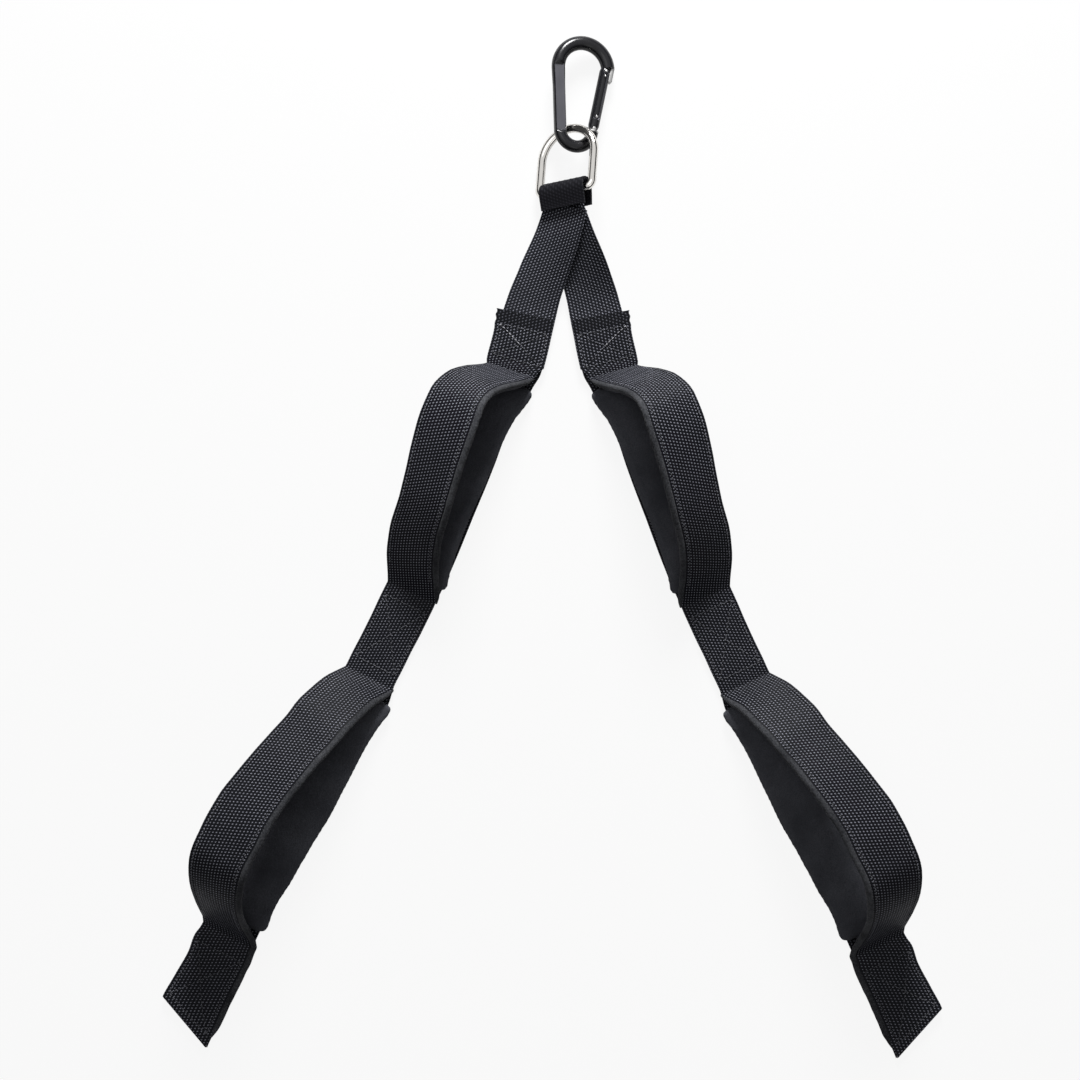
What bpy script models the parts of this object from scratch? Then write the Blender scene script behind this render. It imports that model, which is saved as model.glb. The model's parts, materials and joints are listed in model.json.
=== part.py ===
"""Cable attachment with two webbing straps: carabiner, D-ring and four padded hand loops.

The object lies flat. X runs across the two straps, +Y towards the carabiner, Z up from
the surface it lies on. The origin is on that surface, under the middle of the object.
"""

import math

import bmesh
import bpy
from mathutils import Matrix, Vector

# Webbing
WEBBING_THICKNESS = 0.0018
WEBBING_WIDTH = 0.038
LAYER_GAP = 0.0003
FOLD_CLEARANCE = 0.0003

# Leg straps, from the ring down to the sewn tab
LEG_WIDTH_AT_RING = 0.0335
LEG_WIDTH = 0.0362
LEG_REACH = 0.0760
LEG_HEADING = 17.5
LEG_PULL_SHARE = 1.08
LEG_TOP_INSET = 0.0020

# Lengths of one side along its back layer
TAB_LENGTH = 0.0370
UPPER_LENGTH = 0.1780
MIDDLE_LENGTH = 0.0580
LOWER_LENGTH = 0.2140
END_LENGTH = 0.0640
END_SLANT = 27.0

# Headings of one side, in degrees away from straight down, at places given as shares
TAB_HEADINGS = (11.0, 15.5)
UPPER_TURN_SHARE = 0.12
UPPER_HEADINGS = (21.5, 24.8)
MIDDLE_HEADING = 26.0
LOWER_TURN_SHARE = 0.15
LOWER_HEADINGS = (29.0, 28.5)
END_HEADINGS = (26.0, 22.0)

# Hand loops: how far the front strap stands up and leans outwards, and how far it rolls
UPPER_RISE = 0.0460
UPPER_LEAN = 0.0290
UPPER_ROLL = 31.0
LOWER_RISE = 0.0600
LOWER_LEAN = 0.0320
LOWER_ROLL = 20.0
UPPER_RISE_SHARES = (
    (0, 0), (0.025, 0), (0.07, 0.27), (0.14, 0.70), (0.22, 0.93), (0.32, 1.0), (0.50, 0.93),
    (0.63, 0.80), (0.75, 0.60), (0.85, 0.36), (0.93, 0.12), (0.975, 0), (1, 0),
)
UPPER_LEAN_SHARES = (
    (0, 0), (0.025, 0), (0.07, 0.38), (0.14, 0.80), (0.22, 0.98), (0.32, 0.97), (0.50, 0.82),
    (0.63, 0.70), (0.75, 0.55), (0.85, 0.36), (0.93, 0.12), (0.975, 0), (1, 0),
)
UPPER_ROLL_SHARES = (
    (0, 0), (0.025, 0), (0.07, 0.3), (0.16, 0.9), (0.3, 1), (0.6, 1), (0.8, 0.7), (0.93, 0.15),
    (0.975, 0), (1, 0),
)
LOWER_RISE_SHARES = (
    (0, 0), (0.025, 0), (0.08, 0.20), (0.18, 0.46), (0.27, 0.62), (0.36, 0.77), (0.45, 0.88),
    (0.53, 0.96), (0.61, 1.0), (0.69, 1.0), (0.76, 0.92), (0.83, 0.72), (0.90, 0.36), (0.95, 0.08),
    (0.975, 0), (1, 0),
)
LOWER_LEAN_SHARES = (
    (0, 0), (0.025, 0), (0.08, 0.25), (0.18, 0.60), (0.27, 0.73), (0.36, 0.84), (0.45, 0.93),
    (0.53, 1.0), (0.61, 1.0), (0.69, 0.94), (0.76, 0.80), (0.83, 0.60), (0.90, 0.33), (0.95, 0.08),
    (0.975, 0), (1, 0),
)
LOWER_ROLL_SHARES = (
    (0, 0), (0.025, 0), (0.1, 0.8), (0.25, 1), (0.45, 0.8), (0.65, 0.5), (0.8, 0.3), (0.93, 0.05),
    (0.975, 0), (1, 0),
)

# Pads
PAD_WIDTH = 0.0385
BACK_PAD_THICKNESS = 0.0062
FRONT_PAD_THICKNESS = 0.0046
FRONT_PAD_WIDTH = 0.0405
UPPER_BACK_PAD_SHARES = (0.062, 0.905)
UPPER_FRONT_PAD_SHARES = (0.075, 0.865)
LOWER_BACK_PAD_SHARES = (0.085, 0.925)
LOWER_FRONT_PAD_SHARES = (0.125, 0.945)

# D-ring, of round wire
WIRE_RADIUS = 0.0030
RING_HALF_WIDTH = 0.0205
RING_SIDE = 0.0240
RING_CORNER = 0.0040
RING_ROLL = 30.0
RING_PITCH = 10.0
BAR_PLACE_Y = 0.24555

# Webbing loop round the bar
BAR_CLEARANCE = 0.0004
LOOP_WIDTH = 0.0335
FLAP_LENGTH = 0.0120
FLAP_DROP = 3.0

# Carabiner: two arcs joined by straight sides, in its own plane
ROD_RADIUS = 0.0042
TOP_RADIUS = 0.0180
CROOK_RADIUS = 0.0115
ARC_SPACING = 0.0423
CARABINER_YAW = 3.7
CARABINER_ROLL = -16.0
CARABINER_PITCH = 2.0
CARABINER_OFFSET = 0.0070
CARABINER_LIFT = 0.0020
LINK_CLEARANCE = 0.0003
FLAT_DEPTH = 0.0007
FLAT_LENGTH_SHARE = 0.80

# Gate, its pins and its spring
GATE_RADIUS = 0.0035
GATE_END_GAP = 0.0004
PIVOT_HEIGHT = 0.0040
CHEEK_DROP = 0.0019
TONGUE_THICKNESS = 0.0026
TONGUE_RADIUS = 0.0025
SLOT_CLEARANCE = 0.0003
PIN_RADIUS = 0.0010
PIN_CLEARANCE = 0.0002
PIN_LENGTH = 0.0060
LATCH_DEPTH = 0.0045
NOSE_LENGTH = 0.0085
NOSE_BACK = 0.0036
NOSE_WALL = 0.0021
NOSE_TOE = 0.0014
BORE_RADIUS = 0.0018
SPRING_LENGTH = 0.0110
SPRING_RADIUS = 0.00125
SPRING_WIRE = 0.00025
SPRING_TURNS = 7
PLUNGER_RADIUS = 0.0015
PLUNGER_LENGTH = 0.0030

# Fineness
ROUTE_STEPS = 40
WIRE_SIDES = 3
ARC_POINTS = 20
FLAP_STEPS = 6
BEND_STEPS = 10
SPRING_TURN_POINTS = 9
SEATING_ROUNDS = 14
SHARP_ANGLE = 40.0
OVERRUN = 0.0010

LAYER_PITCH = WEBBING_THICKNESS + LAYER_GAP
STACK_OF_TWO = WEBBING_THICKNESS + LAYER_PITCH
STACK_OF_THREE = STACK_OF_TWO + LAYER_PITCH
UP = Vector((0, 0, 1))


def clear_scene():
    for old in list(bpy.data.objects):
        bpy.data.objects.remove(old, do_unlink=True)


def make_collection(name):
    collection = bpy.data.collections.new(name)
    bpy.context.scene.collection.children.link(collection)
    return collection


def make_material(name, colour, roughness, metallic=0.0):
    material = bpy.data.materials.new(name)
    material.use_nodes = True
    shader = material.node_tree.nodes["Principled BSDF"]
    shader.inputs["Base Color"].default_value = (*colour, 1.0)
    shader.inputs["Roughness"].default_value = roughness
    shader.inputs["Metallic"].default_value = metallic
    return material


def add_object(name, mesh, material, pivot=None):
    """Link a mesh given in world coordinates, with the object's origin at its joint."""
    obj = bpy.data.objects.new(name, mesh)
    if pivot is not None:
        mesh.transform(Matrix.Translation(-pivot))
        obj.location = pivot
    mesh.materials.clear()
    mesh.materials.append(material)
    MODEL.objects.link(obj)
    return obj


def smooth_value(table, place):
    """A value at a place along a table of (place, value), on a smooth curve through them."""
    last = len(table) - 2
    row = min(last, max(0, sum(1 for entry in table[1:-1] if entry[0] <= place)))
    (p1, v1), (p2, v2) = table[row], table[row + 1]
    p0, v0 = table[max(0, row - 1)]
    p3, v3 = table[min(len(table) - 1, row + 2)]
    span = p2 - p1
    share = min(1.0, max(0.0, (place - p1) / span))
    rise = v2 - v1
    slopes = []
    for slope in ((v2 - v0) / (p2 - p0) * span, (v3 - v1) / (p3 - p1) * span):
        slopes.append(0 if slope * rise <= 0 else math.copysign(min(abs(slope), 3 * abs(rise)), rise))
    square, cube = share ** 2, share ** 3
    return (
        v1 * (2 * cube - 3 * square + 1)
        + slopes[0] * (cube - 2 * square + share)
        + v2 * (3 * square - 2 * cube)
        + slopes[1] * (cube - square)
    )


class Path:
    """A sampled path of frames: origin, direction along, direction across and normal."""

    def __init__(self, origins, acrosses, start=0.0):
        self.origins = origins
        self.places = [start]
        for one, two in zip(origins, origins[1:]):
            self.places.append(self.places[-1] + (two - one).length)
        self.alongs = []
        self.acrosses = []
        last = len(origins) - 1
        for index, across in enumerate(acrosses):
            along = (origins[min(last, index + 1)] - origins[max(0, index - 1)]).normalized()
            self.alongs.append(along)
            self.acrosses.append(across)

    @property
    def length(self):
        return self.places[-1] - self.places[0]

    def frame(self, place):
        last = len(self.places) - 2
        row = 0
        while row < last and self.places[row + 1] < place:
            row += 1
        span = self.places[row + 1] - self.places[row]
        share = (place - self.places[row]) / span
        origin = self.origins[row].lerp(self.origins[row + 1], share)
        held = min(1.0, max(0.0, share))
        along = self.alongs[row].lerp(self.alongs[row + 1], held).normalized()
        across = self.acrosses[row].lerp(self.acrosses[row + 1], held).normalized()
        normal = across.cross(along).normalized()
        if normal.dot(UP) < 0:
            normal = -normal
        return origin, along, across, normal


def side_point(side, outward, up_the_page, height):
    return Vector((side * outward, up_the_page, height))


class Side:
    """The plan route of one strap, from the top of its tab to its end, on the surface."""

    def __init__(self, side):
        self.side = side
        self.tab_end = TAB_LENGTH
        self.upper_end = self.tab_end + UPPER_LENGTH
        self.middle_end = self.upper_end + MIDDLE_LENGTH
        self.lower_end = self.middle_end + LOWER_LENGTH
        self.tip = self.lower_end + END_LENGTH
        self.headings = (
            (0, TAB_HEADINGS[0]),
            (self.tab_end, TAB_HEADINGS[1]),
            (self.tab_end + UPPER_TURN_SHARE * UPPER_LENGTH, UPPER_HEADINGS[0]),
            (self.tab_end + (1 - UPPER_TURN_SHARE) * UPPER_LENGTH / 2, UPPER_HEADINGS[1]),
            (self.upper_end, UPPER_HEADINGS[1]),
            ((self.upper_end + self.middle_end) / 2, MIDDLE_HEADING),
            (self.middle_end, MIDDLE_HEADING),
            (self.middle_end + LOWER_TURN_SHARE * LOWER_LENGTH, LOWER_HEADINGS[0]),
            (self.lower_end - LOWER_TURN_SHARE * LOWER_LENGTH, LOWER_HEADINGS[1]),
            (self.lower_end, END_HEADINGS[0]),
            (self.tip, END_HEADINGS[1]),
        )
        start_out = LEG_REACH * math.sin(math.radians(LEG_HEADING))
        start_down = CROSSING.y - LEG_REACH * math.cos(math.radians(LEG_HEADING))
        origins, acrosses = [], []
        outward, along_page = start_out, start_down
        steps = ROUTE_STEPS * 4
        step = self.tip / steps
        for index in range(steps + 1):
            heading = math.radians(smooth_value(self.headings, index * step))
            origins.append(side_point(side, outward, along_page, 0))
            acrosses.append(Vector((side * math.cos(heading), math.sin(heading), 0)))
            middle = math.radians(smooth_value(self.headings, (index + 0.5) * step))
            outward += step * math.sin(middle)
            along_page -= step * math.cos(middle)
        self.route = Path(origins, acrosses)

    def front_path(self, start, end, rise, lean, roll, rise_shares, lean_shares, roll_shares, bases):
        """The underside of a bowed front strap over the stretch of route from start to end."""
        origins, acrosses = [], []
        for index in range(ROUTE_STEPS + 1):
            share = index / ROUTE_STEPS
            origin, _, across, _ = self.route.frame(start + share * (end - start))
            height = bases[0] + share * (bases[1] - bases[0]) + rise * smooth_value(rise_shares, share)
            angle = math.radians(roll) * smooth_value(roll_shares, share)
            origins.append(origin + across * lean * smooth_value(lean_shares, share) + UP * height)
            acrosses.append(across * math.cos(angle) - UP * math.sin(angle))
        return Path(origins, acrosses)


def face_outwards(bm):
    """Turn a closed mesh's faces to point out."""
    bmesh.ops.recalc_face_normals(bm, faces=bm.faces)
    if bm.calc_volume(signed=True) < 0:
        bmesh.ops.reverse_faces(bm, faces=bm.faces)


def cut_box(cells, across_cells):
    """A unit cube cut into cells along Y and across X."""
    bm = bmesh.new()
    bmesh.ops.create_cube(bm, size=1)
    for axis, cuts in ((1, cells - 1), (0, across_cells - 1)):
        if cuts > 0:
            edges = [
                edge for edge in bm.edges
                if abs(edge.verts[0].co[axis] - edge.verts[1].co[axis]) > 0.9
            ]
            bmesh.ops.subdivide_edges(bm, edges=edges, cuts=cuts, use_grid_fill=True)
    return bm


def strip(name, path, start, end, width, thickness, lift, material, pivot,
          cells=8, across_cells=2, round_start=None, slants=(0, 0)):
    """A flat box bent along a path.

    width is one value or its two end values. lift is the underside's height on the path.
    round_start is (radius, height) of the fold that the start turns about: the start then
    reaches back inside that circle. slants are the end cuts' angles in degrees.
    """
    widths = width if isinstance(width, tuple) else (width, width)
    bm = cut_box(cells, across_cells)
    for vert in bm.verts:
        share, across_share, up_share = vert.co.y + 0.5, vert.co.x, vert.co.z + 0.5
        across = across_share * (widths[0] + share * (widths[1] - widths[0]))
        height = lift + thickness * up_share
        first = start + across * math.tan(math.radians(slants[0]))
        last = end + across * math.tan(math.radians(slants[1]))
        if round_start:
            radius, axis_height = round_start
            first -= math.sqrt(max(0, radius ** 2 - (height - axis_height) ** 2))
        origin, _, across_way, normal = path.frame(first + share * (last - first))
        vert.co = origin + across_way * across + normal * height
    face_outwards(bm)
    mesh = bpy.data.meshes.new(name)
    bm.to_mesh(mesh)
    bm.free()
    return add_object(name, mesh, material, pivot)


def pad(name, path, shares, width, thickness, lift, pivot, cells):
    """A padded strip: a coarse cage along the path, rounded by subdivision."""
    start, end = shares[0] * path.length, shares[1] * path.length
    obj = strip(name, path, start, end, width, thickness, lift, PAD_FABRIC, pivot, cells, 3)
    rounding = obj.modifiers.new("rounding", "SUBSURF")
    rounding.levels = 1
    rounding.render_levels = 1
    obj.data.shade_smooth()
    return obj


def swept_rod(name, points, radius, material, cyclic=False, pivot=None):
    """A round rod along points, as a closed mesh."""
    curve = bpy.data.curves.new(name, "CURVE")
    curve.dimensions = "3D"
    curve.bevel_depth = radius
    curve.bevel_resolution = WIRE_SIDES
    curve.use_fill_caps = not cyclic
    spline = curve.splines.new("POLY")
    spline.points.add(len(points) - 1)
    for point, place in zip(spline.points, points):
        point.co = (*place, 1)
    spline.use_cyclic_u = cyclic
    return curve_to_object(name, curve, material, pivot)


def curve_to_object(name, curve, material, pivot=None):
    rod = bpy.data.objects.new(name + "_curve", curve)
    MODEL.objects.link(rod)
    bpy.context.view_layer.update()
    evaluated = rod.evaluated_get(bpy.context.evaluated_depsgraph_get())
    mesh = bpy.data.meshes.new_from_object(evaluated)
    bpy.data.objects.remove(rod, do_unlink=True)
    bm = bmesh.new()
    bm.from_mesh(mesh)
    bmesh.ops.remove_doubles(bm, verts=bm.verts, dist=LAYER_GAP / 100)
    face_outwards(bm)
    bm.to_mesh(mesh)
    bm.free()
    mesh.shade_smooth()
    mesh.set_sharp_from_angle(angle=math.radians(SHARP_ANGLE))
    return add_object(name, mesh, material, pivot)


def flat_outline(name, points, thickness, material):
    """A flat plate in the XY plane, centred on it, from its outline."""
    curve = bpy.data.curves.new(name, "CURVE")
    curve.dimensions = "2D"
    curve.fill_mode = "BOTH"
    curve.extrude = thickness / 2
    spline = curve.splines.new("POLY")
    spline.points.add(len(points) - 1)
    for point, place in zip(spline.points, points):
        point.co = (place[0], place[1], 0, 1)
    spline.use_cyclic_u = True
    return curve_to_object(name, curve, material)


def cylinder(name, radius, length, material, matrix, vertices=16):
    """A cylinder along the local Z of its matrix, centred on it."""
    bm = bmesh.new()
    bmesh.ops.create_cone(
        bm, cap_ends=True, segments=vertices, radius1=radius, radius2=radius, depth=length
    )
    mesh = bpy.data.meshes.new(name)
    bm.to_mesh(mesh)
    bm.free()
    mesh.transform(matrix)
    mesh.shade_smooth()
    mesh.set_sharp_from_angle(angle=math.radians(SHARP_ANGLE))
    return add_object(name, mesh, material)


def box(name, size, material, matrix):
    bm = bmesh.new()
    bmesh.ops.create_cube(bm, size=1)
    mesh = bpy.data.meshes.new(name)
    bm.to_mesh(mesh)
    bm.free()
    mesh.transform(matrix @ Matrix.Diagonal((*size, 1)))
    return add_object(name, mesh, material)


def combine(target, tool, operation):
    """Join a piece into its target, or cut it out, and keep the tool as a hidden guide."""
    modifier = target.modifiers.new(tool.name, "BOOLEAN")
    modifier.operation = operation
    modifier.object = tool
    modifier.solver = "EXACT"
    tool.hide_render = True
    tool.display_type = "WIRE"
    MODEL.objects.unlink(tool)
    CUTTERS.objects.link(tool)


def arc_points(centre, radius, first, last, count):
    points = []
    for index in range(count + 1):
        angle = math.radians(first + (last - first) * index / count)
        points.append(Vector((centre[0] + radius * math.cos(angle), centre[1] + radius * math.sin(angle), 0)))
    return points


def ring_outline():
    """The ring's wire centre in its own plane: bar on the X axis, arch towards +Y."""
    inner = RING_HALF_WIDTH - RING_CORNER
    points = arc_points((0, RING_SIDE), RING_HALF_WIDTH, 0, 180, ARC_POINTS)
    points += arc_points((-inner, RING_CORNER), RING_CORNER, 180, 270, ARC_POINTS // 4)
    points += arc_points((inner, RING_CORNER), RING_CORNER, 270, 360, ARC_POINTS // 4)
    return points


def ring_axes():
    """Directions of the ring's bar, of its axis towards the arch, and its normal."""
    pitch, roll = math.radians(RING_PITCH), math.radians(RING_ROLL)
    axis = Vector((0, math.cos(pitch), -math.sin(pitch)))
    bar = Vector((math.cos(roll), math.sin(roll) * math.sin(pitch), math.sin(roll) * math.cos(pitch)))
    return bar, axis, bar.cross(axis)


def frame_matrix(x_way, y_way, z_way, origin):
    matrix = Matrix((x_way, y_way, z_way)).transposed().to_4x4()
    matrix.translation = origin
    return matrix


def taper():
    return math.asin((TOP_RADIUS - CROOK_RADIUS) / ARC_SPACING)


def carabiner_points():
    """The rod's centre from the nose over the top, down the spine and round the crook."""
    turn = math.degrees(taper())
    points = arc_points((0, ARC_SPACING), TOP_RADIUS, -turn, 180 + turn, ARC_POINTS)
    return points + arc_points((0, 0), CROOK_RADIUS, 180 + turn, 360 - turn, ARC_POINTS)


def carabiner_axes():
    """Directions of the carabiner's own X, Y and Z."""
    yaw, pitch, roll = (math.radians(a) for a in (CARABINER_YAW, CARABINER_PITCH, CARABINER_ROLL))
    across = Vector((math.cos(roll), 0, math.sin(roll)))
    up_page = Vector((0, math.cos(pitch), -math.sin(pitch)))
    normal = across.cross(up_page).normalized()
    across = up_page.cross(normal)
    x_way = across * math.cos(yaw) - up_page * math.sin(yaw)
    y_way = up_page * math.cos(yaw) + across * math.sin(yaw)
    return x_way, y_way, normal


def dense(points, cyclic, pitch):
    """The points of a polyline, with more between them no further apart than the pitch."""
    ends = points[1:] + (points[:1] if cyclic else [])
    result = []
    for one, two in zip(points, ends):
        count = max(1, math.ceil((two - one).length / pitch))
        result += [one.lerp(two, index / count) for index in range(count)]
    return result


def least_distance(one, two):
    return min((a - b).length for a in one for b in two)


def seat_carabiner(ring_points):
    """Matrix of the carabiner, pulled up the page until its crook meets the ring."""
    x_way, y_way, normal = carabiner_axes()
    turned = frame_matrix(x_way, y_way, normal, Vector((0, 0, 0)))
    outline = [turned @ point for point in carabiner_points()]
    height = ROD_RADIUS - min(point.z for point in outline) + CARABINER_LIFT
    near = dense([p for p in outline if p.y < ARC_SPACING / 2], False, WIRE_RADIUS / 4)
    ring = dense(ring_points, True, WIRE_RADIUS / 4)
    reach = WIRE_RADIUS + ROD_RADIUS + LINK_CLEARANCE + SLOT_CLEARANCE
    bar_y = BAR_CENTRE.y
    low, high = bar_y + RING_SIDE + WIRE_RADIUS, bar_y + RING_SIDE + RING_HALF_WIDTH
    for _ in range(SEATING_ROUNDS):
        middle = (low + high) / 2
        shift = Vector((CARABINER_OFFSET, middle, height))
        if least_distance([point + shift for point in near], ring) > reach:
            low = middle
        else:
            high = middle
    return frame_matrix(x_way, y_way, normal, Vector((CARABINER_OFFSET, low, height)))


def build_ring(points):
    return swept_rod("d_ring", points, WIRE_RADIUS, CHROME, cyclic=True)


def build_loop():
    """The band of webbing round the bar, in the plane across the bar."""
    inner = WIRE_RADIUS + BAR_CLEARANCE + WEBBING_THICKNESS / 2
    flap = STACK_OF_TWO / 2 + LAYER_GAP + WEBBING_THICKNESS / 2
    profile = []
    for index in range(FLAP_STEPS):
        share = 1 - index / FLAP_STEPS
        ease = share * share * (3 - 2 * share)
        profile.append((share * FLAP_LENGTH, inner + (flap - inner) * ease))
    for index in range(BEND_STEPS + 1):
        angle = math.radians(90 + 180 * index / BEND_STEPS)
        profile.append((inner * math.cos(angle), inner * math.sin(angle)))
    profile += [(down, -out) for down, out in reversed(profile[:FLAP_STEPS])]
    origins = [BAR_CENTRE + DOWN_FLAP * down + STACK_NORMAL * out for down, out in profile]
    bm = bmesh.new()
    bmesh.ops.create_grid(bm, x_segments=1, y_segments=len(origins) - 1, size=1)
    rows = len(origins) - 1
    for vert in bm.verts:
        row = round((vert.co.y + 1) / 2 * rows)
        vert.co = origins[row] + BAR_WAY * vert.co.x * LOOP_WIDTH / 2
    mesh = bpy.data.meshes.new("ring_loop")
    bm.to_mesh(mesh)
    bm.free()
    obj = add_object("ring_loop", mesh, WEBBING, BAR_CENTRE)
    wall = obj.modifiers.new("wall", "SOLIDIFY")
    wall.thickness = WEBBING_THICKNESS
    wall.offset = 0
    return obj


def leg_path(side_route):
    """The middle of a leg's layer pair, from the crossing to the top of the tab and on."""
    side = side_route.side
    heading = math.radians(LEG_HEADING)
    first = Vector((side * math.sin(heading), -math.cos(heading), 0))
    first = (first - STACK_NORMAL * first.dot(STACK_NORMAL)).normalized()
    first_across = first.cross(STACK_NORMAL) * -side
    if first_across.x * side < 0:
        first_across = -first_across
    tab, along, across, _ = side_route.route.frame(0)
    layer_middle = LAYER_PITCH + WEBBING_THICKNESS / 2
    end_height = layer_middle + side * LAYER_PITCH / 2
    end = tab + UP * end_height
    pull = LEG_PULL_SHARE * (end - CROSSING).length
    origins, acrosses = [], []
    back = LEG_TOP_INSET * 4
    origins.append(CROSSING - first * back)
    acrosses.append(first_across)
    for index in range(ROUTE_STEPS + 1):
        t = index / ROUTE_STEPS
        origins.append(
            CROSSING * (2 * t ** 3 - 3 * t ** 2 + 1) + first * pull * (t ** 3 - 2 * t ** 2 + t)
            + end * (3 * t ** 2 - 2 * t ** 3) + along * pull * (t ** 3 - t ** 2)
        )
        ease = t * t * (3 - 2 * t)
        acrosses.append(first_across.lerp(across, ease))
    steps = ROUTE_STEPS // 4
    for index in range(1, steps + 1):
        origin, _, across, _ = side_route.route.frame(TAB_LENGTH * index / steps)
        origins.append(origin + UP * end_height)
        acrosses.append(across)
    return Path(origins, acrosses, start=-back)


def build_leg(prefix, side_route):
    side = side_route.side
    route = side_route.route
    radius = STACK_OF_THREE / 2
    stop = side_route.tab_end - radius - FOLD_CLEARANCE
    path = leg_path(side_route)
    lift = -side * LAYER_PITCH / 2 - WEBBING_THICKNESS / 2
    _, along, across, _ = path.frame(0)
    slant = math.degrees(math.atan(along.dot(BAR_WAY) / across.dot(BAR_WAY)))
    strip(
        prefix + "leg_strap", path, -LEG_TOP_INSET, path.places[-1] - radius - FOLD_CLEARANCE,
        (LEG_WIDTH_AT_RING, LEG_WIDTH), WEBBING_THICKNESS, lift, WEBBING, CROSSING,
        cells=26, across_cells=2, slants=(slant, 0),
    )
    strip(prefix + "tab_front", route, 0, stop, WEBBING_WIDTH, WEBBING_THICKNESS,
          2 * LAYER_PITCH, WEBBING, CROSSING, cells=5)
    strip(prefix + "tab_back", route, 0, stop, WEBBING_WIDTH, WEBBING_THICKNESS,
          0, WEBBING, CROSSING, cells=5)


def build_handle(prefix, side_route, start, end, front, fold_stack, end_stack, pads):
    """One padded hand loop: bowed front strap, flat back strap and their pads."""
    route = side_route.route
    pivot = route.frame(start)[0] + UP * fold_stack / 2
    first_base = fold_stack - WEBBING_THICKNESS
    last_base = end_stack - WEBBING_THICKNESS
    path = side_route.front_path(start, end, *front, (first_base, last_base))
    radius = fold_stack / 2
    stop = end_stack / 2 + FOLD_CLEARANCE
    strip(
        prefix + "front_strap", path, 0, path.length - stop, WEBBING_WIDTH, WEBBING_THICKNESS, 0,
        WEBBING, pivot, cells=30, round_start=(radius, radius - first_base),
    )
    strip(
        prefix + "back_strap", route, start, end - stop, WEBBING_WIDTH, WEBBING_THICKNESS, 0,
        WEBBING, pivot, cells=12, round_start=(radius, radius),
    )
    back = Path(
        [route.frame(start + (end - start) * i / ROUTE_STEPS)[0] for i in range(ROUTE_STEPS + 1)],
        [route.frame(start + (end - start) * i / ROUTE_STEPS)[2] for i in range(ROUTE_STEPS + 1)],
    )
    back_shares, front_shares = pads
    pad(prefix + "back_pad", back, back_shares, PAD_WIDTH, BACK_PAD_THICKNESS, LAYER_PITCH, pivot, 10)
    pad(prefix + "front_pad", path, front_shares, FRONT_PAD_WIDTH, FRONT_PAD_THICKNESS,
        -LAYER_GAP - FRONT_PAD_THICKNESS, pivot, 16)


def build_flat_section(prefix, side_route, start, end, last, slant=0):
    """A sewn stretch of two flat layers."""
    route = side_route.route
    radius = STACK_OF_TWO / 2
    pivot = route.frame(start)[0] + UP * radius
    stop = end if last else end - radius - FOLD_CLEARANCE
    for layer, name in enumerate(("back", "front")):
        strip(
            prefix + name, route, start, stop, WEBBING_WIDTH, WEBBING_THICKNESS,
            layer * LAYER_PITCH, WEBBING, pivot, cells=6, round_start=(radius, radius),
            slants=(0, slant),
        )


def build_side(prefix, side):
    side_route = Side(side)
    build_leg(prefix, side_route)
    build_handle(
        prefix + "upper_", side_route, side_route.tab_end, side_route.upper_end,
        (UPPER_RISE, UPPER_LEAN, UPPER_ROLL, UPPER_RISE_SHARES, UPPER_LEAN_SHARES, UPPER_ROLL_SHARES),
        STACK_OF_THREE, STACK_OF_TWO, (UPPER_BACK_PAD_SHARES, UPPER_FRONT_PAD_SHARES),
    )
    build_flat_section(prefix + "middle_", side_route, side_route.upper_end, side_route.middle_end, False)
    build_handle(
        prefix + "lower_", side_route, side_route.middle_end, side_route.lower_end,
        (LOWER_RISE, LOWER_LEAN, LOWER_ROLL, LOWER_RISE_SHARES, LOWER_LEAN_SHARES, LOWER_ROLL_SHARES),
        STACK_OF_TWO, STACK_OF_TWO, (LOWER_BACK_PAD_SHARES, LOWER_FRONT_PAD_SHARES),
    )
    build_flat_section(
        prefix + "end_", side_route, side_route.lower_end, side_route.tip, True, -END_SLANT
    )


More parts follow.
